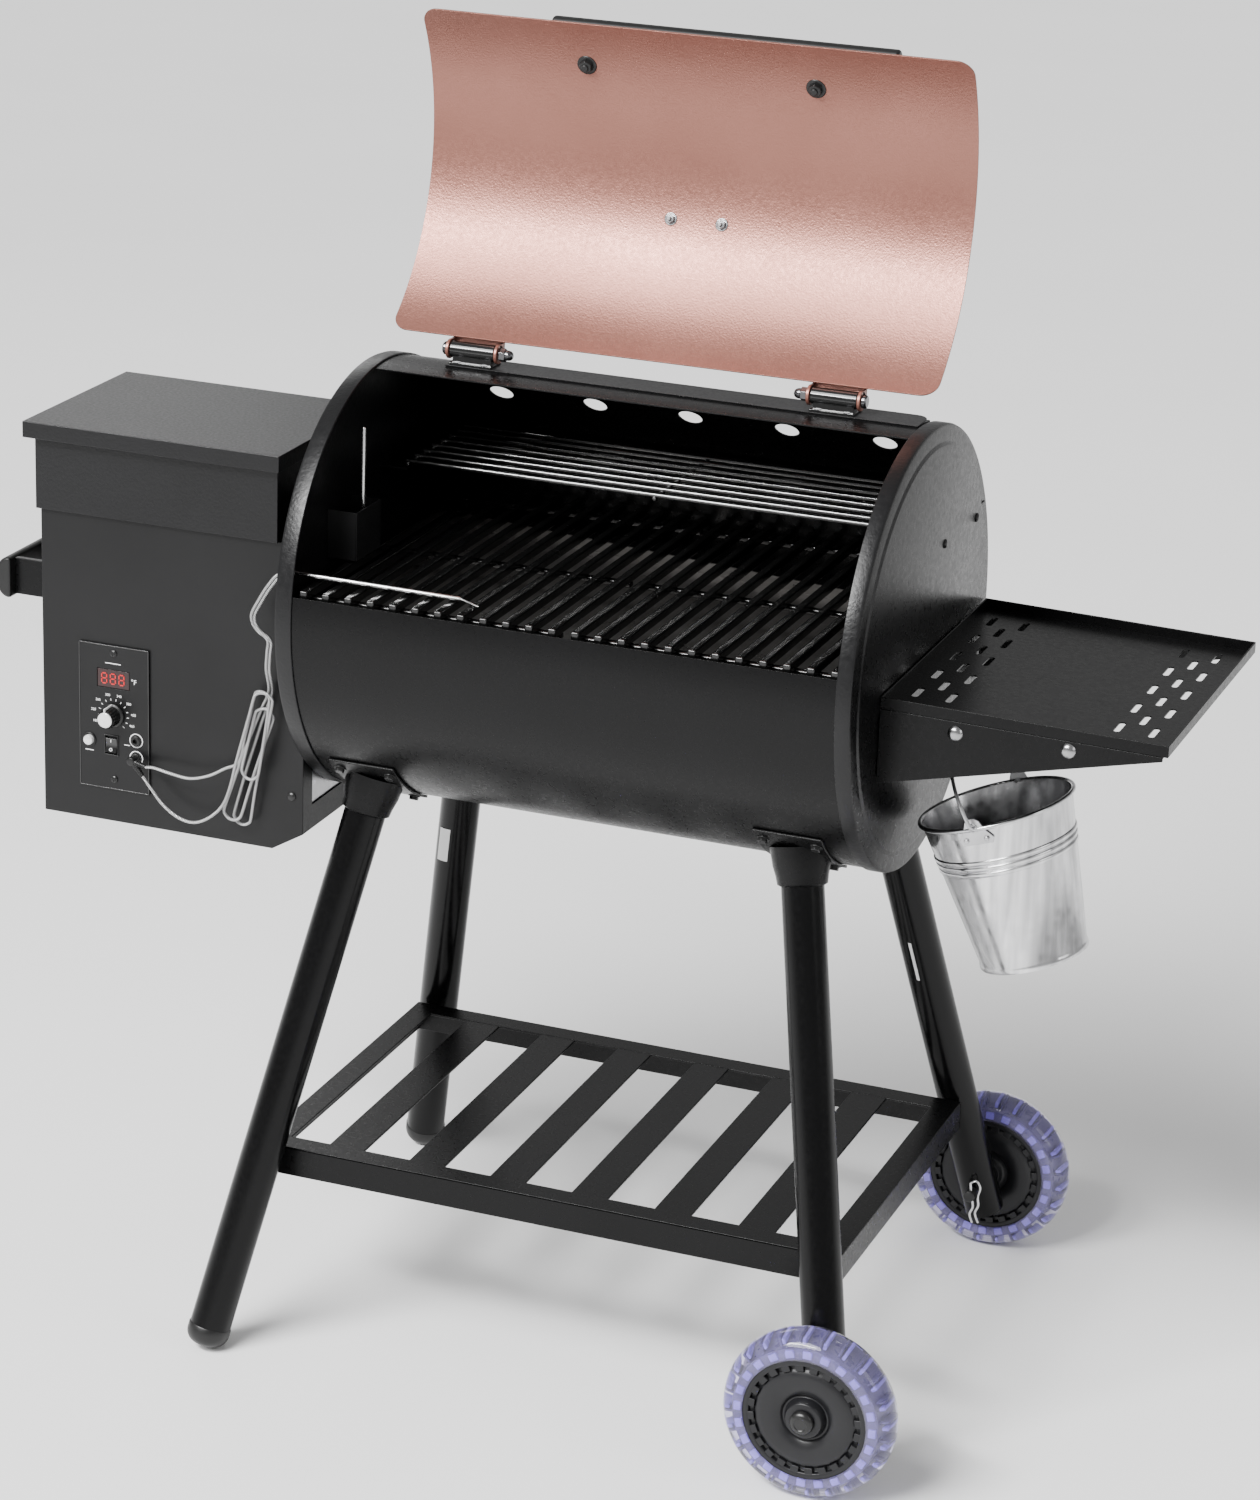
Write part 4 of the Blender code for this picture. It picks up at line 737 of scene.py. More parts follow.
def make_caps():
    """Pressed ends with rolled lips and the inner ledges of the rack and trays."""
    lip = 1.4
    left = [
        (CAP_R - SHEET - lip, CAP_LEFT - 0.4), (CAP_R - SHEET - lip * 0.4, CAP_LEFT), (CAP_R - 0.5, CAP_LEFT),
        (CAP_R, CAP_LEFT - 0.6), (CAP_R, 3.2), (CAP_R - 0.9, 1.0), (CAP_R - 3.2, 0),
        (0, 0), (0, SHEET), (CAP_R - SHEET - 2, SHEET), (CAP_R - SHEET - lip, SHEET + 1.6),
    ]
    cap = lathe(left, at(-CAP_LEFT, 0, AXIS_Z), (1, 0, 0), 160, (0, 1, 0))
    piece("cap_left", merged(
        cap,
        block(-CAP_LEFT + 0.5, 12, 24, 180, 830.5, 832.5),
        block(-CAP_LEFT + 0.5, 10, -60, 60, 729.0, 731.8),
    ), BLACK_PEEL, stands_for=("end_cap_left",))
    depth = CAP_RIGHT
    right = [
        (CAP_R - SHEET - lip, 0.4), (CAP_R - SHEET - lip * 0.4, 0), (CAP_R - 0.5, 0), (CAP_R, 0.6),
        (CAP_R, depth - 3.4), (CAP_R - 1.0, depth - 1.0), (CAP_R - 3.4, depth),
        (196, depth), (194.6, depth + 0.4), (192.4, depth + 1.5), (191, depth + 1.9),
        (0, depth + 1.9), (0, depth + 0.4), (191, depth + 0.4), (199, depth - SHEET),
        (CAP_R - SHEET - 2, depth - SHEET), (CAP_R - SHEET - lip, depth - SHEET - 1.6),
    ]
    cap = lathe(right, at(BARREL_LENGTH, 0, AXIS_Z), (1, 0, 0), 160, (0, 1, 0))
    rim = piece("cap_right", merged(
        cap,
        block(523, BARREL_LENGTH + depth + 1, 24, 180, 830.5, 832.5),
        block(521, BARREL_LENGTH + depth + 1, -60, 60, 700.5, 703.5),
    ), BLACK_PEEL, stands_for=("end_cap_right",))
    rim.data.materials.append(BLACK)
    face_x = at(BARREL_LENGTH + depth, 0, 0).x
    for polygon in rim.data.polygons:
        if polygon.normal.x > 0.9 and polygon.center.x > face_x - 0.0005:
            polygon.material_index = 1
    rivets = []
    for y, z in ((150.7, 823.2), (47.6, 824.8)):
        head = [(0, -1), (4.6, -1), (4.4, 0.8), (3.2, 1.8), (1.5, 2.3), (0, 2.3)]
        rivets.append(lathe(head, at(BARREL_LENGTH + depth + 1.9, y, z), (1, 0, 0), 24))
    piece("cap_rivets", merged(*rivets), DARK_STEEL)


# ---------------------------------------------------------------- lid

LID_R = 216.4
LID_Y = -102.7
LID_Z = 1151.9
LID_LOW = -56.3
LID_HIGH = 33.4
LID_X0 = -4.5
LID_X1 = 543.5
LID_CORNER = 17.0
HANDLE_ANGLE = 20.8
HANDLE_STANDOFF = 66
HANDLE_BOLTS = (158.4, 387.3)
PLATE_ANGLE = -16.9
PLATE_X = 272.4


def lid_at(x, radius, angle):
    y, z = on_circle(radius, angle, LID_Y, LID_Z)
    return at(x, y, z)


def make_lid():
    """Rolled sheet with round corners, then its fasteners."""
    steps = 90
    corner = LID_CORNER
    half = LID_R * math.radians(LID_HIGH - LID_LOW) / 2
    middle = (LID_LOW + LID_HIGH) / 2
    stops = [half * (2 * i / steps - 1) for i in range(steps + 1)]
    for i in range(10):
        rounding = corner * (1 - math.cos(math.radians(9 * i)))
        stops += [-half + rounding, half - rounding]
    stops = sorted(set(round(s, 4) for s in stops))
    bm = bmesh.new()
    rows = []
    for stop in stops:
        depth = corner - (half - abs(stop))
        shrink = corner - math.sqrt(max(corner ** 2 - depth ** 2, 0)) if depth > 0 else 0.0
        angle = middle + math.degrees(stop / LID_R)
        row = []
        for radius in (LID_R - SHEET / 2, LID_R + SHEET / 2):
            row.append(bm.verts.new(lid_at(LID_X0 + shrink, radius, angle)))
            row.append(bm.verts.new(lid_at(LID_X1 - shrink, radius, angle)))
        rows.append(row)
    for a, b in zip(rows, rows[1:]):
        bm.faces.new((a[0], a[1], b[1], b[0]))
        bm.faces.new((a[2], b[2], b[3], a[3]))
        bm.faces.new((a[0], b[0], b[2], a[2]))
        bm.faces.new((a[1], a[3], b[3], b[1]))
    for row in (rows[0], rows[-1]):
        bm.faces.new((row[0], row[2], row[3], row[1]))
    piece("lid_sheet", bm, COPPER, LID, ("lid",), bevel=0.4, sharp=50)
    bolts = []
    for x in HANDLE_BOLTS:
        base = lid_at(x, LID_R - SHEET / 2, HANDLE_ANGLE)
        inward = (lid_at(x, LID_R - 60, HANDLE_ANGLE) - base).normalized()
        bolts.append(lathe([(0, -0.5), (9.8, -0.5), (9.8, 0.8), (9.2, 1.3), (0, 1.3)], base, inward, 40))
        bolts.append(lathe([(0, 1), (6.8, 1), (6.8, 5.2), (6.0, 6.0), (0, 6.0)], base, inward, 6))
        bolts.append(lathe([(0, 5), (3.6, 5), (3.4, 7.4), (2.8, 7.9), (0, 7.9)], base, inward, 20))
    piece("lid_bolts", merged(*bolts), DARK_STEEL, LID, bevel=0.3)
    nuts = []
    for x in (246.6, 298.1):
        base = lid_at(x, LID_R - SHEET / 2, PLATE_ANGLE)
        inward = (lid_at(x, LID_R - 60, PLATE_ANGLE) - base).normalized()
        nuts.append(lathe([(0, -0.5), (6.4, -0.5), (6.4, 0.7), (5.9, 1.1), (0, 1.1)], base, inward, 36))
        nuts.append(lathe([(0, 1), (4.6, 1), (4.6, 4.0), (4.0, 4.6), (0, 4.6)], base, inward, 6))
        nuts.append(lathe([(0, 4), (2.2, 4), (2.1, 7.0), (1.8, 7.4), (0, 7.4)], base, inward, 16))
    piece("lid_nuts", merged(*nuts), WASHER, LID, bevel=0.25)


def make_lid_handle():
    """Bar on two posts outside the lid."""
    reach = LID_R + HANDLE_STANDOFF
    parts = [rod(lid_at(98, reach, HANDLE_ANGLE), lid_at(448, reach, HANDLE_ANGLE), 8.5, 40, 3.0)]
    post = [(0, 0), (11.5, 0), (11.5, 2.5), (8, 5), (7, 12), (7, 61), (0, 61)]
    for x in HANDLE_BOLTS:
        base = lid_at(x, LID_R + 1, HANDLE_ANGLE)
        out = (lid_at(x, reach, HANDLE_ANGLE) - base).normalized()
        parts.append(lathe(post, base, out, 36))
    piece("lid_bar", merged(*parts), BLACK_PLASTIC, LID, ("lid_handle",), bevel=0.3)


def make_blank_plate():
    """Oval plate with a rounded rim and nothing on it."""
    half_x, half_y = 48, 14
    steps = 72
    centre = lid_at(PLATE_X, LID_R + SHEET / 2 + 1.0, PLATE_ANGLE)
    outward = (centre - lid_at(PLATE_X, LID_R - 50, PLATE_ANGLE)).normalized()
    turn = frame_to(centre, outward, (1, 0, 0))
    bm = bmesh.new()
    rings = []
    for scale, level in ((0.985, -0.6), (1.0, -0.2), (1.0, 1.4), (0.985, 2.0), (0.93, 2.0), (0.915, 1.4)):
        ring = []
        for step in range(steps):
            angle = 2 * math.pi * step / steps
            x = half_x * math.cos(angle) * scale
            y = (half_y - half_x * (1 - scale)) * math.sin(angle)
            ring.append(bm.verts.new(turn @ (Vector((x, y, level)) * MM)))
        rings.append(ring)
    bm.faces.new(list(reversed(rings[0])))
    bm.faces.new(rings[-1])
    for first, second in zip(rings, rings[1:]):
        for step in range(steps):
            after = (step + 1) % steps
            bm.faces.new((first[step], first[after], second[after], second[step]))
    piece("blank_plate", bm, STEEL, LID, ("nameplate",))


def make_hinge(side, x0, flip):
    """Barrel hinge: glossy tube between copper ears, with a nut and a dome at the free end."""
    x1 = x0 + 46
    y, z = HINGE_Y, HINGE_Z
    tube = rod(at(x0, y, z), at(x1, y, z), 8.0, 48, 1.2)
    saddle = prism([(y - 6.5, 948.5), (y - 5, 956), (y + 5, 956), (y + 6.5, 948.5)], x0 + 3, x1 - 3, "yz")
    foot = block(x0 + 1, x1 - 1, y - 11, y + 14, 947.1, 949.3)
    screws = []
    for x in (x0 + 9, x1 - 9):
        head = [(0, -0.5), (3.6, -0.5), (3.4, 0.35), (2.8, 0.5), (0, 0.5)]
        screws.append(lathe(head, at(x, y - 8.2, 949.3), (0, 0, 1), 20))
    piece(
        "hinge_tube_" + side, merged(tube, saddle, foot), GLOSS_BLACK,
        stands_for=("hinge_base_" + side,), bevel=0.5,
    )
    piece("hinge_screws_" + side, merged(*screws), CHROME, bevel=0.1)
    start = x0 - 3 if flip else x1 + 3
    direction = -1 if flip else 1
    free_end = at(start + direction * 1.2, y, z)
    nut = [(0, 0), (6.8, 0), (6.8, 5.5), (6.2, 6.2), (0, 6.2)]
    nut = lathe(nut, free_end, (direction, 0, 0), 6)
    dome = [(0, 5), (5.0, 5), (5.0, 8), (4.6, 10.4), (3.4, 12.2), (1.6, 13.2), (0, 13.2)]
    dome = lathe(dome, free_end, (direction, 0, 0), 32)
    other = x1 + 3.8 if flip else x0 - 3.8
    head = [(0, 0), (6.4, 0), (6.4, 3.0), (5.2, 4.4), (0, 4.6)]
    head = lathe(head, at(other, y, z), (-direction, 0, 0), 32)
    piece("hinge_pin_ends_" + side, merged(nut, dome, head), CHROME, bevel=0.3)
    back = LID_R + SHEET / 2 + 0.3
    outline = [(y + 12.0, z + 0.5), (y + 9.5, z + 1.0)]
    for degrees in (-53.0, -51.5, -50.0, -48.0, -46.5):
        outline.append(on_circle(back, degrees, LID_Y, LID_Z))
    for degrees in (-46.5, -48.0, -50.0, -52.6):
        outline.append(on_circle(back + 2.2, degrees, LID_Y, LID_Z))
    parts = [prism(outline, x0 - 3.4, x1 + 3.4, "yz")]
    for low, high in ((x0 - 3.4, x0 - 0.4), (x1 + 0.4, x1 + 3.4)):
        parts.append(rod(at(low, y, z), at(high, y, z), 9.5, 48, 0.6))
        parts.append(block(low, high, y, y + 12.0, z - 3, z + 9))
    piece(
        "hinge_ears_" + side, merged(*parts), COPPER, LID, ("hinge_leaf_" + side,), bevel=0.4,
    )


# ---------------------------------------------------------------- cooking surfaces


GRATE_FIRST = 8.3
GRATE_PITCH = 22.7
GRATE_BARS = 12


def make_grate(name, x_first, body, node):
    """Twelve flat bars on three cross bars."""
    bars = []
    for i in range(GRATE_BARS):
        middle = x_first + i * GRATE_PITCH
        bars.append(block(middle - 4, middle + 4, -203, 203, 761, 770))
    end = x_first + (GRATE_BARS - 1) * GRATE_PITCH + 4
    cross = [block(x_first - 4, end, y0, y0 + 8, 756, 761.4) for y0 in (-189, -12, 181)]
    piece(name, merged(*bars, *cross), ENAMEL, body, (node,), bevel=1.6, sharp=30)


def make_rack():
    wires = []
    for i in range(8):
        y = 31.0 + i * 21.0 - (2 if i == 7 else 0)
        wires.append(rod(at(8, y, 838), at(527, y, 838), 2.5, 20, 1.0))
    for x in (10.0, 267.5, 525.0):
        wires.append(rod(at(x, 28, 835), at(x, 177, 835), 2.2, 20, 0.8))
    piece("rack_wires", merged(*wires), WIRE, "warming_rack_body", ("warming_rack",))


def make_sensor():
    rod_part = rod(at(8, -69, 774), at(8, -69, 896), 2.4, 24, 1.5)
    stub = rod(at(-15.8, -69, 790), at(8, -69, 790), 3.2, 24)
    piece("sensor_rod", merged(rod_part, stub), STEEL, stands_for=("temperature_sensor",))
    guard = merged(
        block(13.5, 15.0, -98.3, -43.2, 771.5, 819.0),
        block(-15.7, 14.5, -98.3, -96.8, 771.5, 819.0),
        block(-15.7, 14.5, -44.7, -43.2, 771.5, 819.0),
    )
    piece("sensor_shield", guard, BLACK_LIT_GREY, stands_for=("sensor_guard",), bevel=0.3)


def make_probe():
    """Steel food probe with a slimmer tip."""
    start = at(-11.0, -178.0, 778.3)
    knee = at(152.7, -166.0, 772.8)
    tip = at(174.0, -176.5, 771.6)
    path = [start, start.lerp(knee, 0.06), start.lerp(knee, 0.5), start.lerp(knee, 0.985), knee]
    body = sweep(path, 2.2, 24, [1.9, 2.2, 2.2, 2.2, 1.6])
    points = [knee.lerp(start, 0.02), knee, knee.lerp(tip, 0.5), knee.lerp(tip, 0.93), tip]
    needle = sweep(points, 1.1, 20, [1.2, 1.2, 1.1, 0.9, 0.25])
    piece("food_probe", merged(body, needle), STEEL, stands_for=("meat_probe",))


# ---------------------------------------------------------------- hopper

BODY_LOW, BODY_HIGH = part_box("hopper_body")
BODY_X0 = -299.0
BODY_X1 = -18.1
BODY_Y0 = BODY_LOW.y / MM
BODY_Y1 = BODY_HIGH.y / MM
BODY_Z0 = BODY_LOW.z / MM
BODY_Z1 = BODY_HIGH.z / MM
FLANGE = SHEET + 7.0


def make_hopper():
    outline = [(BODY_X0, BODY_Z1), (BODY_X0, BODY_Z0), (-50.8, BODY_Z0), (BODY_X1, 503.0), (BODY_X1, BODY_Z1)]
    inner = [
        (BODY_X0 + SHEET, BODY_Z1 + 5), (BODY_X0 + SHEET, BODY_Z0 + SHEET),
        (-51.4, BODY_Z0 + SHEET), (BODY_X1 - SHEET, 503.9), (BODY_X1 - SHEET, BODY_Z1 + 5),
    ]
    cuts = [
        prism(inner, BODY_Y0 + SHEET, BODY_Y1 - SHEET, "xz"),
        block(BODY_X1 - 5, BODY_X1 + 5, -122, 26, 528, 600),
    ]
    piece(
        "hopper_box", prism(outline, BODY_Y0, BODY_Y1, "xz"), BLACK_FINE,
        stands_for=("hopper_body",), bevel=1.0, cuts=cuts,
    )
    screw = [(0, -0.5), (4.6, -0.5), (4.4, 1.0), (3.2, 2.2), (1.4, 2.7), (0, 2.7)]
    screw = lathe(screw, at(-30.1, BODY_Y0, 540.5), (0, -1, 0), 32)
    piece("hopper_screw", screw, DARK_STEEL)
    x0, x1, y0, y1 = -301.5, -44.0, -149.0, 44.0
    low, high = BODY_Z1 + 0.3, 880.0
    collar = block(x0, x1, y0, y1, low, high)
    hole = block(x0 + SHEET, x1 - SHEET, y0 + SHEET, y1 - SHEET, low + SHEET, high + 5)
    mouth = block(x0 + FLANGE, x1 - FLANGE, y0 + FLANGE, y1 - FLANGE, low - 5, high)
    piece(
        "hopper_collar_box", collar, BLACK_PEEL, stands_for=("hopper_collar",), bevel=1.0,
        cuts=[hole, mouth],
    )
    x0, x1, y0, y1, top = -309.0, -37.8, -160.0, 54.0, 883.0
    lid = block(x0, x1, y0, y1, top - 16, top)
    inside = block(x0 + SHEET, x1 - SHEET, y0 + SHEET, y1 - SHEET, top - 20, top - SHEET)
    cover = piece(
        "hopper_cover", lid, BLACK_PEEL, "hopper_lid_body", ("hopper_lid",), bevel=1.6,
        cuts=[inside],
    )
    # The upward top face takes the lighter grey coat: a painted highlight on the top, beside its real finer
    # grain.
    cover.data.materials.append(BLACK_LIT_GREY)
    for polygon in cover.data.polygons:
        if polygon.normal.z > 0.95 and polygon.center.z > (top - 1) * MM:
            polygon.material_index = 1
    fixed = []
    moving = []
    for x in (-270.0, -115.0):
        moving.append(rod(at(x, 57.6, 867), at(x + 20, 57.6, 867), 2.6, 20, 0.4))
        moving.append(block(x, x + 20, 53.2, 57.6, 867.3, 869.2))
        fixed.append(rod(at(x + 20.6, 57.6, 867), at(x + 38, 57.6, 867), 2.6, 20, 0.4))
        fixed.append(block(x + 20.6, x + 38, 43, 57.6, 862.8, 865))
    piece("cover_knuckles", merged(*moving), DARK_STEEL, "hopper_lid_body", bevel=0.2)
    piece("collar_knuckles", merged(*fixed), DARK_STEEL, bevel=0.2)


def make_push_handle():
    outline = [(-345.0, 690.0)]
    for step in range(25):
        angle = math.radians(-90 - 180 * step / 24)
        outline.append((-348.0 + 14 * math.cos(angle), 710.5 + 20.5 * math.sin(angle)))
    outline.append((-345.0, 731.0))
    grip = prism(outline, -124, 20, "xz")
    arms = []
    for y in (-113, 4):
        arms.append(block(-348, BODY_X0 - 0.3, y, y + 6, 692, 729))
        arms.append(block(BODY_X0 - 2.3, BODY_X0 - 0.3, y - 4, y + 14, 692, 729))
    piece("push_grip", grip, BLACK_PLASTIC, stands_for=("push_handle",), bevel=3.0)
    piece("push_arms", merged(*arms), BLACK, bevel=0.8)


# ---------------------------------------------------------------- control panel

FACE = PANEL_Y
DIAL_X = -221.0
DIAL_Z = 595
BUTTON_X = -247.5
BUTTON_Z = 566
SOCKET_X = -196.4
SOCKET_LEVELS = (572.0, 554.2)
PANEL_SCREW_LEVELS = (658.0, 528.4)


def ring_of_blocks(x0, x1, y0, y1, z0, z1, thick):
    """Four strips round a rectangle on the panel, inside its outline."""
    return [
        block(x0, x1, y0, y1, z1 - thick, z1), block(x0, x1, y0, y1, z0, z0 + thick),
        block(x0, x0 + thick, y0, y1, z0, z1), block(x1 - thick, x1, y0, y1, z0, z1),
    ]


def turned_block(box, turn, x, z):
    """Block made about the frame's own origin, turned about +Y, then moved to a place on the panel."""
    made = block(*box)
    bmesh.ops.translate(made, vec=-at(0, 0, 0), verts=made.verts)
    bmesh.ops.rotate(made, verts=made.verts, cent=(0, 0, 0), matrix=Matrix.Rotation(turn, 3, "Y"))
    bmesh.ops.translate(made, vec=at(x, 0, z), verts=made.verts)
    return made


def digit_bars(x, z, width, height, thick):
    """Seven bars of one display figure, all lit."""
    half = thick / 2
    mid = z + height / 2
    gap = 0.25
    bars = []
    for level in (z, mid, z + height):
        bars.append((x + half + gap, x + width - half - gap, level - half, level + half))
    for side in (x, x + width):
        bars.append((side - half, side + half, z + half + gap, mid - half - gap))
        bars.append((side - half, side + half, mid + half + gap, z + height - half - gap))
    return [block(a, b, FACE - 0.35, FACE + 1.0, c, d) for a, b, c, d in bars]


def figure(name, text, x, z, size):
    """Small printed figures on the panel, as thin raised shapes."""
    data = bpy.data.curves.new(name, "FONT")
    data.body = text
    data.size = size * MM
    data.extrude = 0.04 * MM
    data.align_x = "CENTER"
    data.align_y = "CENTER"
    obj = bpy.data.objects.new(name, data)
    bpy.context.scene.collection.objects.link(obj)
    data.materials.append(WHITE)
    upright = Matrix.Rotation(math.radians(90), 4, "X")
    obj.matrix_world = Matrix.Translation(at(x, FACE - 0.06, z)) @ upright
    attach(obj, GRILL)
    return obj


def make_panel():
    """Face plate with its rim, sockets, display, screws and dial marks."""
    plate = block(-258, -182.6, FACE, FACE + 2.0, 518, 665.6)
    window = block(-238.6, -203.4, FACE - 1, FACE + 1.2, 622.0, 641.2)
    knob_hole = rod(at(-221, FACE - 1, 595), at(-221, FACE + 3, 595), 4.0, 24)
    rocker_hole = block(-230.0, -216.5, FACE - 5, FACE + 5, 554.2, 572.8)
    button_hole = rod(at(-247.5, FACE - 5, 566), at(-247.5, FACE + 5, 566), 5.8, 32)
    piece(
        "panel_plate", plate, BLACK_FINE, stands_for=("control_panel",), bevel=0.5,
        cuts=[window, knob_hole, rocker_hole, button_hole],
    )
    rim = ring_of_blocks(-258.2, -182.4, FACE - 0.5, FACE + 1.0, 517.8, 665.8, 1.0)
    piece("panel_rim", merged(*rim), GLOSS_BLACK, bevel=0.35)
    prints = []
    for z in SOCKET_LEVELS:
        outline = [(6.3, -0.2), (7.3, -0.2), (7.3, 0.08), (6.3, 0.08)]
        prints.append(lathe(outline, at(SOCKET_X, FACE, z), (0, -1, 0), 48))
    piece("socket_prints", merged(*prints), WHITE)
    ring = [(5.9, -0.2), (7.4, -0.2), (7.3, 0.9), (6.8, 1.4), (5.9, 1.4)]
    ring = lathe(ring, at(BUTTON_X, FACE, BUTTON_Z), (0, -1, 0), 40)
    sockets = []
    for z in SOCKET_LEVELS:
        profile = [(2.4, -1), (5.4, -1), (5.4, 2.0), (5.0, 2.8), (4.2, 3.2), (2.6, 3.2), (2.4, 2.8)]
        sockets.append(lathe(profile, at(SOCKET_X, FACE, z), (0, -1, 0), 40))
    piece("panel_rings", merged(ring, *sockets), BLACK_PLASTIC, bevel=0.15)
    bezel = [
        block(-230.6, -216.0, FACE - 1.0, FACE + 0.5, 573.0, 574.0),
        block(-230.6, -216.0, FACE - 1.0, FACE + 0.5, 553.0, 554.0),
        block(-231.0, -230.0, FACE - 1.0, FACE + 0.5, 553.0, 574.0),
        block(-216.5, -215.5, FACE - 1.0, FACE + 0.5, 553.0, 574.0),
    ]
    piece("rocker_bezel", merged(*bezel), BLACK_PLASTIC, bevel=0.3)
    pane = block(-238.0, -204.0, FACE + 0.25, FACE + 1.4, 622.6, 640.6)
    piece("display_pane", pane, WINDOW, stands_for=("display",), bevel=0.2)
    figures = []
    for i in range(3):
        figures += digit_bars(-233.4 + i * 9.4, 626.6, 5.4, 10.2, 1.1)
    piece("display_figures", merged(*figures), DIGIT)
    screws = []
    head = [(0, -0.5), (3.8, -0.5), (3.6, 1.0), (2.6, 1.9), (1, 2.3), (0, 2.3)]
    for z in PANEL_SCREW_LEVELS:
        screws.append(lathe(head, at(-220.5, FACE, z), (0, -1, 0), 32))
    recesses = []
    for z in PANEL_SCREW_LEVELS:
        recesses.append(block(-223.0, -218.0, FACE - 4, FACE - 1.5, z - 0.5, z + 0.5))
        recesses.append(block(-221.0, -220.0, FACE - 4, FACE - 1.5, z - 2.5, z + 2.5))
    piece("panel_screws", merged(*screws), DARK_STEEL, cuts=recesses)
    figure("degree_mark", "°F", -198.6, 631.5, 7.0)
    marks = []
    for i in range(14):
        turn = math.radians(225 - 270 * i / 13)
        spot = Vector((DIAL_X + 15.6 * math.cos(turn), 0, DIAL_Z + 15.6 * math.sin(turn)))
        tick = (-1.1, 1.1, FACE - 0.1, FACE + 0.5, -0.28, 0.28)
        marks.append(turned_block(tick, -turn, spot.x, spot.z))
    piece("dial_ticks", merged(*marks), WHITE)
    for i in range(8):
        turn = math.radians(205 - 230 * i / 7)
        x = DIAL_X + 22.0 * math.cos(turn)
        z = DIAL_Z + 20.6 * math.sin(turn)
        figure("dial_figure_%d" % i, str(180 + 40 * i), x, z, 3.6)
    lines = (
        ("mark_a", DIAL_X, 647.5, 17.0), ("mark_b", BUTTON_X, 555.2, 9.0), ("mark_c", -206.5, 566.0, 6.0),
    )
    for name, x, z, width in lines:
        line = block(x - width / 2, x + width / 2, FACE - 0.08, FACE + 0.5, z - 0.4, z + 0.4)
        piece("panel_" + name, line, WHITE)


def make_controls():
    """Dial, prime button and rocker, each on its own body."""
    centre = at(DIAL_X, FACE - 0.3, DIAL_Z)
    skirt = [(0, 0), (11.6, 0), (12.0, 0.6), (12.0, 2.4), (11.4, 3.2), (9.8, 3.8), (9.3, 5)]
    body = skirt + [(8.8, 16.0), (8.2, 17.4), (7.4, 17.9), (0, 17.9)]
    grips = []
    for i in range(20):
        tooth = (-0.55, 0.55, FACE - 16.2, FACE - 4.6, 8.6, 9.7)
        grips.append(turned_block(tooth, 2 * math.pi * i / 20, DIAL_X, DIAL_Z))
    piece(
        "dial_body", merged(lathe(body, centre, (0, -1, 0), 64, (0, 0, 1)), *grips), BLACK_PLASTIC,
        "knob_body", ("knob",),
    )
    cap = lathe([(0, 17), (7.6, 17), (7.6, 18.4), (7.0, 18.9), (0, 18.9)], centre, (0, -1, 0), 48)
    piece("dial_cap", cap, SILVER, "knob_body")
    pointer = block(-221.5, -220.5, FACE - 19.5, FACE - 3.5, 601.5, 606.8)
    piece("dial_pointer", pointer, WHITE, "knob_body", bevel=0.2)
    centre = at(BUTTON_X, FACE - 3.5, BUTTON_Z)
    button = [(0, -9), (5.1, -9), (5.1, -0.4), (4.6, 0.6), (3.6, 1.1), (1.8, 1.4), (0, 1.4)]
    piece(
        "button_cap", lathe(button, centre, (0, -1, 0), 48), SILVER, "prime_button_body",
        ("prime_button",),
    )
    y0 = FACE + 2.0
    outline = [
        (y0 + 6, 557.2), (y0 - 4.6, 556.4), (y0 - 3.4, 560.0), (y0 - 2.6, 563.5),
        (y0 - 2.8, 567.0), (y0 - 3.6, 570.6), (y0 + 6, 569.8),
    ]
    rocker = prism(outline, -229.4, -217.1, "yz")
    piece("rocker", rocker, GLOSS_BLACK, "rocker_body", ("rocker_switch",), bevel=0.4)
    on_mark = block(-223.6, -222.9, y0 - 4.0, y0 - 2.5, 566.6, 569.4)
    off_mark = [(1.1, 0), (1.6, 0), (1.6, 0.9), (1.1, 0.9)]
    off_mark = lathe(off_mark, at(-223.25, y0 - 3.4, 559.2), (0, -1, 0.2), 28)
    piece("rocker_marks", merged(on_mark, off_mark), WHITE, "rocker_body")


def make_plug():
    """Moulded plug with a ribbed tail for each lead."""
    start = at(SOCKET_X, FACE - 3.4, SOCKET_LEVELS[1])
    head = [(0, 0), (4.6, 0), (4.8, 1), (4.8, 7.5), (4.0, 9.4), (2.0, 10.4), (0, 10.4)]
    head = lathe(head, start, (0, -1, 0), 40)
    parts = [head, rod(start + Vector((0, 0.008, 0)), start, 1.6, 20)]
    heart = start - Vector((0, 0.006, 0))
    for tip in (at(-180.6, -157.1, 551.0), at(-183.8, -157.2, 541.2)):
        parts.append(sweep([heart, heart.lerp(tip, 0.3), tip], 2.4, 20, [3.0, 2.7, 1.9]))
        direction = (tip - heart).normalized()
        for i in range(6):
            spot = heart.lerp(tip, 0.35 + 0.11 * i)
            reach = 3.3 - 0.18 * i
            parts.append(lathe([(1, 0), (reach, 0), (reach, 1.0), (1, 1.0)], spot, direction, 24))
    piece(
        "plug_moulding", merged(*parts), BLACK_PLASTIC, stands_for=("probe_plug",), bevel=0.15,
    )


# ---------------------------------------------------------------- stand

LEG_R = 20.3
LEG_TOP_X = (44.0, 481.0)
LEG_TOP_Y = 119.5
LEG_TOP_Z = 553.0
LEG_SPLAY_X = 0.193
LEG_SPLAY_Y = 0.2685


def leg_line(side_x, side_y, z):
    """Centre of a leg at a level: side_x 0 left or 1 right, side_y -1 front or 1 rear."""
    fall = LEG_TOP_Z - z
    x = LEG_TOP_X[side_x] + (-1 if side_x == 0 else 1) * LEG_SPLAY_X * fall
    return at(x, side_y * (LEG_TOP_Y + LEG_SPLAY_Y * fall), z)


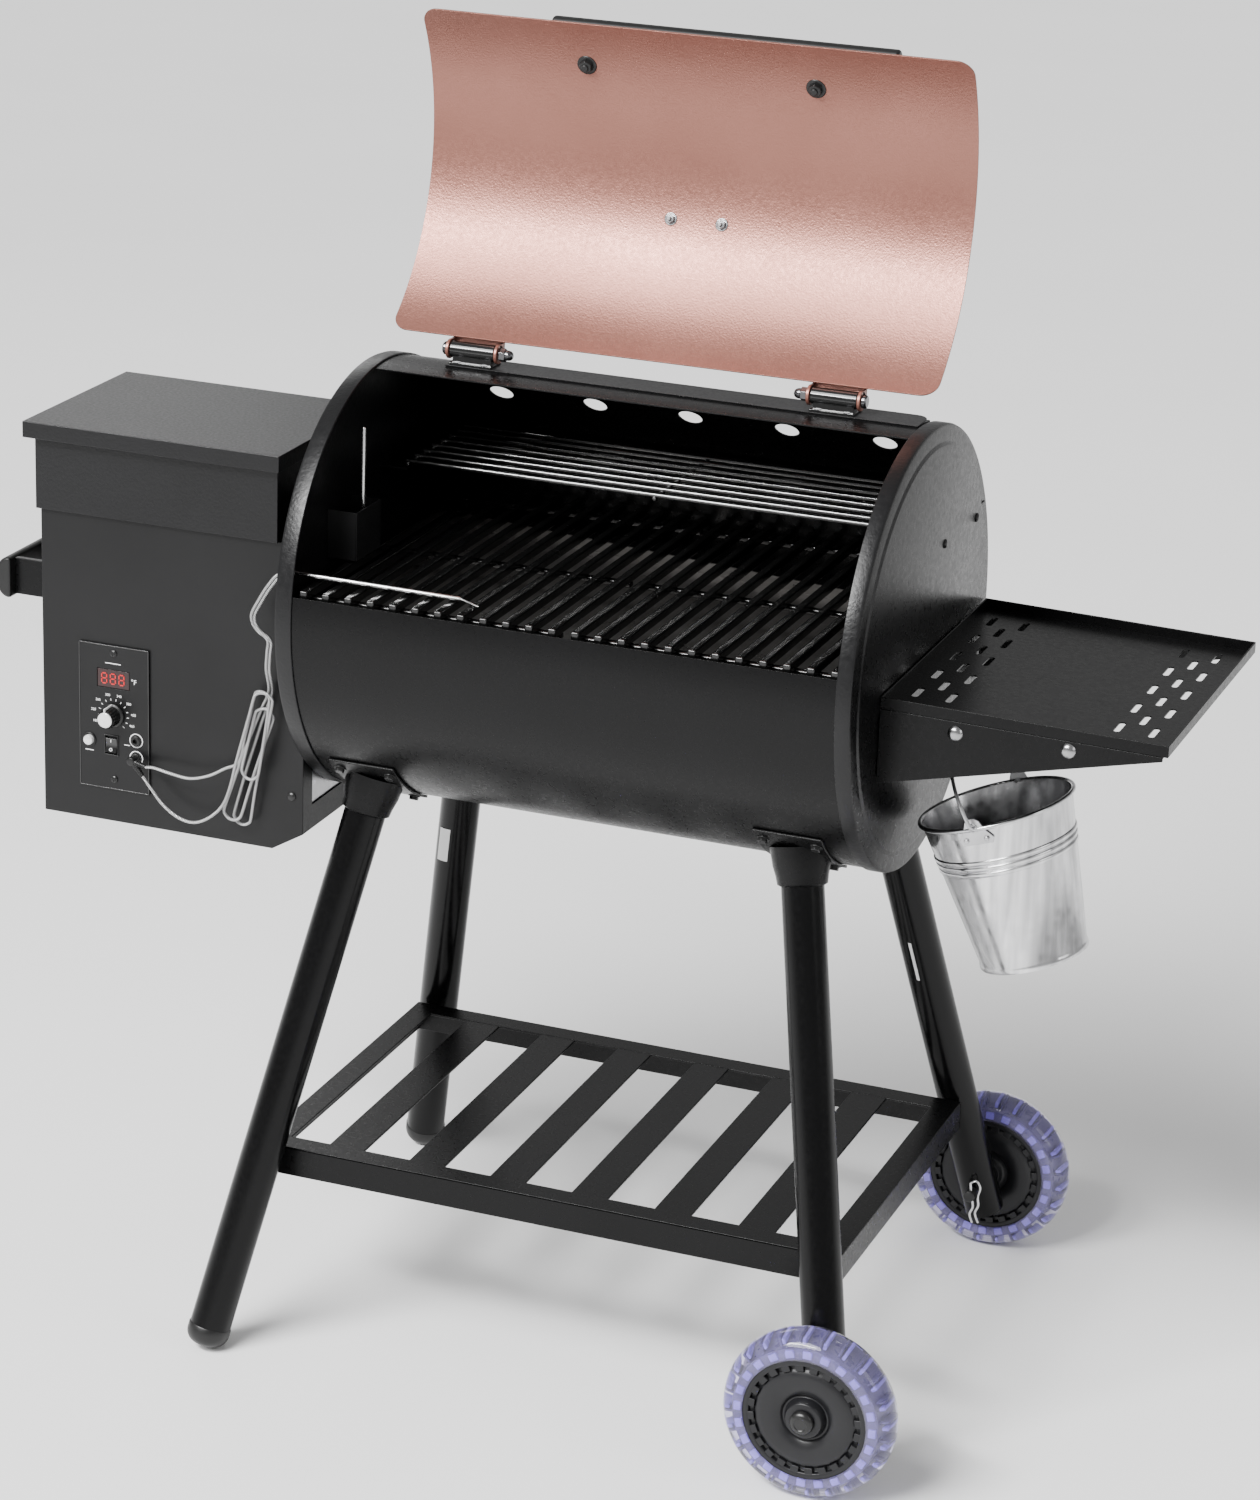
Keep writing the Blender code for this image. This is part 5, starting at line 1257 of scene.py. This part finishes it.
def barrel_core():
    """Cutter that trims the stand's parts to the barrel's outside."""
    return rod(at(-40, 0, AXIS_Z), at(600, 0, AXIS_Z), SHELL_R + GAP, 200)


def make_leg(name, side_x, side_y, bottom):
    """Leg tube, its saddle on the barrel, the collar between them and the bolts."""
    low = leg_line(side_x, side_y, bottom)
    high = leg_line(side_x, side_y, LEG_TOP_Z + 2)
    tube = pipe(low, high, LEG_R, LEG_R - 2.0, 64, (1, 0, 0))
    piece(
        "tube_" + name, tube, LEG_BLACK, stands_for=("leg_" + name,), cuts=[barrel_core()],
    )
    x = LEG_TOP_X[side_x] + (4 if side_x == 0 else -4)
    low_angle, high_angle = (223.0, 250.0) if side_y < 0 else (290.0, 317.0)
    plate = arc_sheet(x - 34, x + 34, SHELL_R + GAP, SHELL_R + 3.0, low_angle, high_angle, 24)
    top = leg_line(side_x, side_y, LEG_TOP_Z + 6)
    axis = (top - leg_line(side_x, side_y, 200)).normalized()
    collar = lathe(
        [(LEG_R, -30), (LEG_R + 3.4, -28), (LEG_R + 4.6, -20), (LEG_R + 7, -10), (LEG_R + 9, 8), (LEG_R, 8)],
        top, axis, 64, (1, 0, 0),
    )
    piece("saddle_" + name, plate, BLACK, bevel=0.8)
    piece("collar_" + name, collar, BLACK, cuts=[barrel_core()])
    bolts = []
    for angle in (low_angle + 4, high_angle - 4):
        for shift in (-26, 26):
            y, z = on_circle(SHELL_R + 3.0, angle)
            base = at(x + shift, y, z)
            out = Vector((0, math.cos(math.radians(angle)), math.sin(math.radians(angle))))
            bolts.append(lathe([(0, -0.5), (6.0, -0.5), (6.0, 0.8), (0, 0.8)], base, out, 28))
            bolts.append(lathe([(0, 0.5), (4.6, 0.5), (4.6, 3.6), (4.0, 4.2), (0, 4.2)], base, out, 6))
    piece("saddle_bolts_" + name, merged(*bolts), DARK_STEEL, bevel=0.25)


def make_feet():
    """Rounded caps under the two left legs."""
    for label, side_y in (("front_left", -1), ("rear_left", 1)):
        low = leg_line(0, side_y, 22)
        along = (leg_line(0, side_y, 0) - low).normalized()
        profile = [(0, -1), (LEG_R + 0.2, -1), (LEG_R + 0.8, 0.2), (LEG_R + 0.8, 6)]
        for step in range(1, 9):
            turn = math.radians(10 * step)
            profile.append((9 + (LEG_R - 8.2) * math.cos(turn), 6 + 13.2 * math.sin(turn)))
        profile.append((0, 19.3))
        piece(
            "foot_cap_" + label, lathe(profile, low, along, 64, (1, 0, 0)), BLACK_PLASTIC,
            stands_for=("foot_" + label,),
        )


def make_labels():
    """Blank paper labels wrapped on the rear legs."""
    places = (("left", 0, 380.0, 420.0, -108.0), ("right", 1, 335.0, 378.0, -112.0))
    for label, side_x, low_z, high_z, facing in places:
        bm = bmesh.new()
        rows = []
        for share in (0.0, 1.0):
            centre = leg_line(side_x, 1, low_z + (high_z - low_z) * share)
            row = []
            for step in range(9):
                turn = math.radians(facing + 4.6 * (step - 4))
                out = Vector((math.cos(turn), math.sin(turn), 0))
                row.append(bm.verts.new(centre + out * (LEG_R + 0.9) * MM))
            rows.append(row)
        for i in range(8):
            bm.faces.new((rows[0][i], rows[0][i + 1], rows[1][i + 1], rows[1][i]))
        piece("blank_label_" + label, bm, LABEL)


def make_bottom_shelf():
    """Angle frame with six flat slats."""
    x0, x1, y0, y1, top = -40.0, 562.0, -193.8, 193.8, 195.4
    parts = []
    for ya, yb, yc, yd in ((y0, y0 + 2.5, y0, y0 + 24), (y1 - 2.5, y1, y1 - 24, y1)):
        parts.append(block(x0, x1, ya, yb, top - 30, top - 0.2))
        parts.append(block(x0, x1, yc, yd, top - 2.5, top))
    for xa, xb, xc, xd in ((x0, x0 + 2.5, x0, x0 + 25), (x1 - 2.5, x1, x1 - 25, x1)):
        parts.append(block(xa, xb, y0, y1, top - 30, top - 0.2))
        parts.append(block(xc, xd, y0 + 0.5, y1 - 0.5, top - 2.4, top - 0.1))
    for i in range(6):
        left = 26.0 + 85.3 * i
        parts.append(block(left, left + 37, y0 + 20, y1 - 20, top - 2.7, top - 0.3))
    piece("lower_rack", merged(*parts), BLACK, stands_for=("bottom_shelf",), bevel=0.7)


WHEEL_R = 83.5
WHEEL_Y = 291.0


def make_wheel(side, label):
    """Clear tyre over a lugged core, on a hub with its axle bolt and spring clip."""
    centre = at(LEG_TOP_X[1] + LEG_SPLAY_X * (LEG_TOP_Z - WHEEL_R), side * WHEEL_Y, WHEEL_R)
    out = Vector((0, side, 0))
    body = "wheel_%s_body" % label
    shell = [
        (60.0, -20.5), (63.5, -22.4), (70, -22.0), (76.5, -18.5), (81, -12.5), (83.2, -5),
        (83.4, 0), (83.2, 5), (81, 12.5), (76.5, 18.5), (70, 22.0), (63.5, 22.4), (60.0, 20.5),
    ]
    piece(
        "tyre_clear_" + label, lathe(shell, centre, out, 128, (0, 0, 1)), VIOLET, body,
        ("wheel_tyre_" + label,), sharp=50,
    )
    place = frame_to(centre, out, (0, 0, 1))

    def spoke_blocks(count, turned, near, far, width, depth):
        blocks = []
        for i in range(count):
            turn = Matrix.Rotation(2 * math.pi * (i + turned) / count, 4, "Z")
            lug = bmesh.new()
            bmesh.ops.create_cube(lug, size=1.0)
            for vert in lug.verts:
                reach = (near + far) / 2 + vert.co.x * (far - near)
                spot = Vector((reach, vert.co.y * width, vert.co.z * 2 * depth))
                vert.co = place @ (turn @ (spot * MM))
            blocks.append(lug)
        return blocks

    inner_band = [(59.0, -16.5), (70.5, -16.0), (70.5, 16.0), (59.0, 16.5)]
    inner_band = lathe(inner_band, centre, out, 96, (0, 0, 1))
    web = spoke_blocks(24, 0.5, 69.0, 80.5, 2.6, 10.0)
    piece("tyre_core_" + label, merged(inner_band, *web), VIOLET_CORE, body, bevel=0.8)
    lugs = spoke_blocks(24, 0.0, 62.0, 69.0, 9.0, 18.2) + spoke_blocks(24, 0.25, 73.0, 79.5, 3.6, 13.5)
    piece("tyre_lugs_" + label, merged(*lugs), VIOLET_LUG, body, bevel=1.2)
    hub = [
        (6.4, -20), (14, -20), (16, -15), (18, -13.5), (22.5, -13.5), (25, -16.4), (32, -19), (41, -19.2),
        (47, -18), (50, -15), (53.5, -15.5), (54.5, -19), (57, -20.2), (60.4, -19.4),
        (60.4, 19.4), (57, 20.2), (54.5, 19.0), (53.5, 15.5), (50, 15.0), (47, 18.0), (41, 19.2), (32, 19.0),
        (25, 16.4), (22.5, 13.5), (20.5, 13.5), (18.8, 19), (17.2, 21.6), (14, 22.5), (6.4, 22.5),
    ]
    ribs = spoke_blocks(24, 0.5, 49.0, 55.4, 8.0, 19.2)
    piece(
        "hub_disc_" + label, merged(lathe(hub, centre, out, 128, (0, 0, 1)), *ribs), HUB, body,
        ("wheel_hub_" + label,), bevel=0.6, sharp=40,
    )
    inner = centre - out * 0.081
    outer = centre + out * 0.0242
    pin = rod(inner, outer, 6.0, 40, 1.2, (0, 0, 1))
    head = [
        (0, 0), (11.4, 0), (11.8, 0.8), (11.6, 2.6), (10.4, 4.6),
        (8.0, 6.0), (6.4, 6.2), (5.6, 5.6), (0, 5.6),
    ]
    piece(
        "axle_bolt_" + label, merged(pin, lathe(head, outer - out * 0.0004, out, 48, (0, 0, 1))), DARK_STEEL,
        stands_for=("wheel_axle_" + label,),
    )
    root = inner + out * 0.005
    leg = ((0.0, 0.014), (0.0015, 0.0), (0.004, -0.012), (0.001, -0.021), (0.004, -0.030))
    bent = (
        (0.0, 0.014), (0.0065, 0.017), (0.0105, 0.010), (0.0085, 0.0),
        (0.0095, -0.010), (0.0065, -0.019), (0.0105, -0.029),
    )
    clip = []
    for path in (leg, bent):
        route = smooth_route([root + Vector((x, 0, z)) for x, z in path], 26)
        clip.append(sweep(route, 1.2, 12))
    piece("spring_clip_" + label, merged(*clip), STEEL)


# ---------------------------------------------------------------- side shelf

TRAY_LOW, TRAY_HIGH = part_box("side_shelf")
TRAY_X0 = (TRAY_LOW.x - BARREL_X) / MM
TRAY_X1 = (TRAY_HIGH.x - BARREL_X) / MM
TRAY_Y0 = TRAY_LOW.y / MM
TRAY_Y1 = TRAY_HIGH.y / MM
TRAY_TOP = TRAY_HIGH.z / MM
DROOP = 0.02


def drooped(bm):
    """Tilts the side shelf's pieces by its slight fall."""
    edge = at(TRAY_X0, 0, 0).x
    for vert in bm.verts:
        vert.co.z -= DROOP * (vert.co.x - edge)
    return bm


def slot_cutter(x, y, z0, z1):
    """Long hole with round ends, its length along y."""
    outline = []
    for centre, start in ((11.0, 0), (-11.0, 180)):
        for step in range(7):
            turn = math.radians(start + 30 * step)
            outline.append((x + 3.0 * math.cos(turn), y + centre + 3.0 * math.sin(turn)))
    return prism(outline, z0, z1, "xy")


def make_side_shelf():
    """Floor sheet with its slots inside a low rim."""
    top = TRAY_TOP
    floor = block(TRAY_X0 + 0.5, TRAY_X1 - 0.5, TRAY_Y0 + 0.5, TRAY_Y1 - 0.5, top - 11, top - 9.5)
    slots = []
    for columns in ((572.0, 588.0, 604.0), (762.5, 778.5, 794.5)):
        for index, x in enumerate(columns):
            start, count = (-48.6, 4) if index == 1 else (-78.0, 5)
            rows = [start + 58.8 * i for i in range(count)]
            slots += [slot_cutter(x, y, top - 14, top - 7) for y in rows]
    for cutter in slots:
        drooped(cutter)
    walls = [
        block(TRAY_X0, TRAY_X1, TRAY_Y0, TRAY_Y0 + 1.5, top - 11, top),
        block(TRAY_X0, TRAY_X1, TRAY_Y1 - 1.5, TRAY_Y1, top - 11, top),
        block(TRAY_X0, TRAY_X0 + 1.5, TRAY_Y0 + 0.2, TRAY_Y1 - 0.2, top - 10.9, top - 0.1),
        block(TRAY_X1 - 1.5, TRAY_X1, TRAY_Y0 + 0.2, TRAY_Y1 - 0.2, top - 10.9, top - 0.1),
    ]
    piece(
        "shelf_floor", drooped(floor), BLACK, stands_for=("side_shelf",), bevel=0.25, cuts=slots,
    )
    piece("shelf_rim", drooped(merged(*walls)), BLACK, bevel=0.5)


def make_bracket(name, y0, front):
    """Tapered plate under the side shelf with its flange, foot and two screws."""
    top = TRAY_TOP - 11.3
    end = TRAY_X1 - 5
    fall = DROOP * (end - TRAY_X0)
    outline = [(TRAY_X0, 646.0), (end, 708.3), (end, top - fall), (TRAY_X0, top)]
    plate = prism(outline, y0, y0 + 2.0, "xz")
    flange = (y0 + 0.3, y0 + 16) if front else (y0 - 14, y0 + 1.7)
    ledge = [(TRAY_X0, top - 2), (TRAY_X0, top), (end, top - fall), (end, top - 2 - fall)]
    shelf = prism(ledge, *flange, "xz")
    foot = block(TRAY_X0 + 0.1, TRAY_X0 + 2, *flange, 650, top - 1)
    piece(
        "bracket_" + name, merged(plate, shelf, foot), BLACK, stands_for=("side_bracket_" + name,),
        bevel=0.6,
    )
    screws = []
    head = [(0, -0.5), (7.0, -0.5), (7.2, 0.6), (6.2, 2.2), (4.4, 3.5), (2.2, 4.1), (0, 4.1)]
    face = y0 if front else y0 + 2.0
    for x in (625.4, 730.9):
        screws.append(lathe(head, at(x, face, 705.3), (0, -1, 0) if front else (0, 1, 0), 40))
    piece("bracket_screws_" + name, merged(*screws), WASHER)


# ---------------------------------------------------------------- bucket

LUGS = Vector(JOINTS["bucket_swing"]["pos_m"])
APEX = Vector(JOINTS["bail_swing"]["pos_m"])
BUCKET_TILT = math.radians(18.0)
BUCKET_R = 73.0
BUCKET_BASE = 51.0
BUCKET_H = 153.0
SWAGES = (104, 110, 116)
BAIL_HALF = 0.0815


def make_bucket():
    """Pail with three swages and a rolled rim, its lugs, then the wire bail."""
    up = Vector((-math.sin(BUCKET_TILT), 0, math.cos(BUCKET_TILT)))
    base = LUGS - up * BUCKET_H * MM

    def wall(height):
        return BUCKET_BASE + (BUCKET_R - BUCKET_BASE) * height / BUCKET_H

    profile = [
        (0, 4), (wall(4) - 2.0, 4), (wall(0) - 1.6, 0.4), (wall(0) - 0.6, -0.2), (wall(0) + 1.4, 0.2),
        (wall(2) + 1.6, 2.2), (wall(5) + 0.9, 4.8), (wall(7) + 0.1, 6.4),
    ]
    for ring in SWAGES:
        for step in range(9):
            turn = math.pi * step / 8
            height = ring - 2.6 * math.cos(turn)
            profile.append((wall(height) + 1.5 * math.sin(turn), height))
    profile.append((wall(BUCKET_H - 6) + 0.1, BUCKET_H - 6))
    for step in range(13):
        turn = math.radians(-120 + 25 * step)
        profile.append((BUCKET_R + 0.9 + 2.3 * math.cos(turn), BUCKET_H - 1.6 + 2.3 * math.sin(turn)))
    for ring in reversed(SWAGES):
        for step in range(9):
            turn = math.pi * step / 8
            height = ring + 2.6 * math.cos(turn)
            profile.append((wall(height) - 0.8 + 1.5 * math.sin(turn), height))
    profile += [(wall(6) - 0.8, 6), (0, 5)]
    pail = lathe(profile, base, up, 160, (0, 1, 0))
    piece("pail", pail, PAIL, "bucket_body", ("bucket",), sharp=45)
    turn = Matrix.Rotation(-BUCKET_TILT, 3, "Y")
    lugs = []
    for side in (-1, 1):
        outline = [
            (-15, -17), (15, -17), (17, -12), (10, -2), (7, 6),
            (3, 9), (-3, 9), (-7, 6), (-10, -2), (-17, -12),
        ]
        plate = prism(outline, 0.0, 1.6, "xz")
        bmesh.ops.translate(plate, vec=-at(0, 0, 0), verts=plate.verts)
        for vert in plate.verts:
            bend = (vert.co.x / MM) ** 2 / (2 * BUCKET_R)
            lean = 0.144 * max(-vert.co.z / MM, 0)
            vert.co.y = side * (BUCKET_R + 1.4 - bend - lean) * MM + vert.co.y * side
        bmesh.ops.rotate(plate, verts=plate.verts, cent=(0, 0, 0), matrix=turn)
        bmesh.ops.translate(plate, vec=LUGS, verts=plate.verts)
        lugs.append(plate)
        for x in (-10, 10):
            spot = turn @ (Vector((x, side * (BUCKET_R + 0.9), -12)) * MM)
            rivet = [(0, -0.5), (2.6, -0.5), (2.3, 0.8), (1.2, 1.5), (0, 1.5)]
            lugs.append(lathe(rivet, LUGS + spot, (0, side, 0), 24))
        eye = [(2.6, 0), (4.4, 0), (4.4, 1.2), (3.9, 1.9), (3.1, 1.9), (2.6, 1.2)]
        hole = LUGS + Vector((0, side * (BUCKET_R + 1.6) * MM, 0))
        lugs.append(lathe(eye, hole, (0, side, 0), 32))
    piece("pail_lugs", merged(*lugs), ZINC, "bucket_body", bevel=0.3)
    up = (APEX - LUGS).normalized()
    length = (APEX - LUGS).length
    hook = ((0.0655, 0.0), (0.0785, 0.0), (BAIL_HALF, 0.003))
    path = [LUGS + Vector((0, -y, 0)) + up * lift for y, lift in hook]
    for step in range(1, 36):
        angle = math.radians(180 - 5 * step)
        lift = math.sin(angle) ** 0.85
        across = Vector((0, math.cos(angle) * BAIL_HALF, 0))
        path.append(LUGS + across + up * (0.006 + (length - 0.006) * lift))
    path += [LUGS + Vector((0, y, 0)) + up * lift for y, lift in reversed(hook)]
    piece("bail_wire", sweep(path, 1.8, 20), ZINC, "bail_body", ("bail",))


def make_spout():
    """Bent drain pipe through the right end, with a flange on the cap."""
    bends = ((520, 655), (540, 652), (570, 650.5), (596, 648.5), (605, 645))
    path = [at(x, 0, z) for x, z in ((500, 668), *bends, (612, 640))]
    inside = [at(x, 0, z) for x, z in ((490, 674.5), *bends, (622, 634.7))]
    piece(
        "drain_pipe", sweep(path, 11.0, 48), BLACK, stands_for=("grease_spout",),
        cuts=[sweep(inside, 9.5, 48)],
    )
    ring = [(11, 0), (22, 0), (22, 1.4), (21, 2), (12.5, 2), (11, 6)]
    x = BARREL_LENGTH + CAP_RIGHT + 1.9
    ring = lathe(ring, at(x, 0, 651.6), (1, 0, 0), 56)
    piece("drain_flange", ring, BLACK)


# ---------------------------------------------------------------- assembly

make_barrel()
make_caps()
make_lid()
make_lid_handle()
make_blank_plate()
make_hinge("left", 61, False)
make_hinge("right", 425, True)
make_grate("grate_bars_left", GRATE_FIRST, GRILL, "grate_left")
make_grate(
    "grate_bars_right", GRATE_FIRST + GRATE_BARS * GRATE_PITCH, "grate_right_body", "grate_right"
)
make_rack()
make_sensor()
make_probe()
make_hopper()
make_push_handle()
make_panel()
make_controls()
make_plug()
make_leg("front_left", 0, -1, 22)
make_leg("rear_left", 0, 1, 22)
make_leg("front_right", 1, -1, 56)
make_leg("rear_right", 1, 1, 56)
make_feet()
make_labels()
make_bottom_shelf()
make_wheel(-1, "front")
make_wheel(1, "rear")
make_side_shelf()
make_bracket("front", TRAY_Y0, True)
make_bracket("rear", TRAY_Y1 - 2.0, False)
make_bucket()
make_spout()
repaint(TRAY, "drip_tray")
repaint(HEAT, "heat_baffle", "fire_pot", "auger_motor", "auger_screw")
repaint(ZINC, "auger_tube", "blower_housing", "pellet_bin")
repaint(BLACK_PLASTIC, "blower_wheel", "power_inlet")

# ---------------------------------------------------------------- floor and light


def make_stage():
    bm = bmesh.new()
    bmesh.ops.create_grid(bm, x_segments=1, y_segments=1, size=14.0)
    mesh = bpy.data.meshes.new("floor")
    bm.to_mesh(mesh)
    bm.free()
    floor = bpy.data.objects.new("floor", mesh)
    bpy.context.scene.collection.objects.link(floor)
    floor.location.z = -0.0006
    paint = Paint("floor_pale", (0.93, 0.93, 0.93), 0.75)
    paint.vary_colour(paint.noise(2.0, 2.0), (0.95, 0.95, 0.95))
    mesh.materials.append(paint.material)
    world = bpy.data.worlds.new("studio")
    world.use_nodes = True
    sky = world.node_tree.nodes["Background"]
    sky.inputs["Color"].default_value = (1, 1, 1, 1)
    sky.inputs["Strength"].default_value = 0.5
    bpy.context.scene.world = world


def make_light(name, place, target, width, height, power):
    data = bpy.data.lights.new(name, "AREA")
    data.shape = "RECTANGLE"
    data.size = width
    data.size_y = height
    data.energy = power
    light = bpy.data.objects.new(name, data)
    bpy.context.scene.collection.objects.link(light)
    light.location = place
    light.rotation_euler = (Vector(target) - Vector(place)).to_track_quat("-Z", "Y").to_euler()


def make_sun(name, place, spread, strength):
    data = bpy.data.lights.new(name, "SUN")
    data.energy = strength
    data.angle = math.radians(spread)
    light = bpy.data.objects.new(name, data)
    bpy.context.scene.collection.objects.link(light)
    light.location = place
    light.rotation_euler = (-Vector(place)).to_track_quat("-Z", "Y").to_euler()


make_stage()
make_sun("window", (-1.1, -2.0, 2.3), 34.0, 4.2)
make_light("lid_band", (-1.05, -2.45, 2.85), (0.04, 0.1, 1.06), 2.0, 0.32, 150)
make_light("right_fill", (3.6, -0.8, 2.2), (0.2, 0.0, 0.7), 1.4, 1.8, 20)
make_light("back_left", (-2.3, 3.2, 2.35), (-0.4, 0.0, 0.88), 1.0, 0.8, 9)
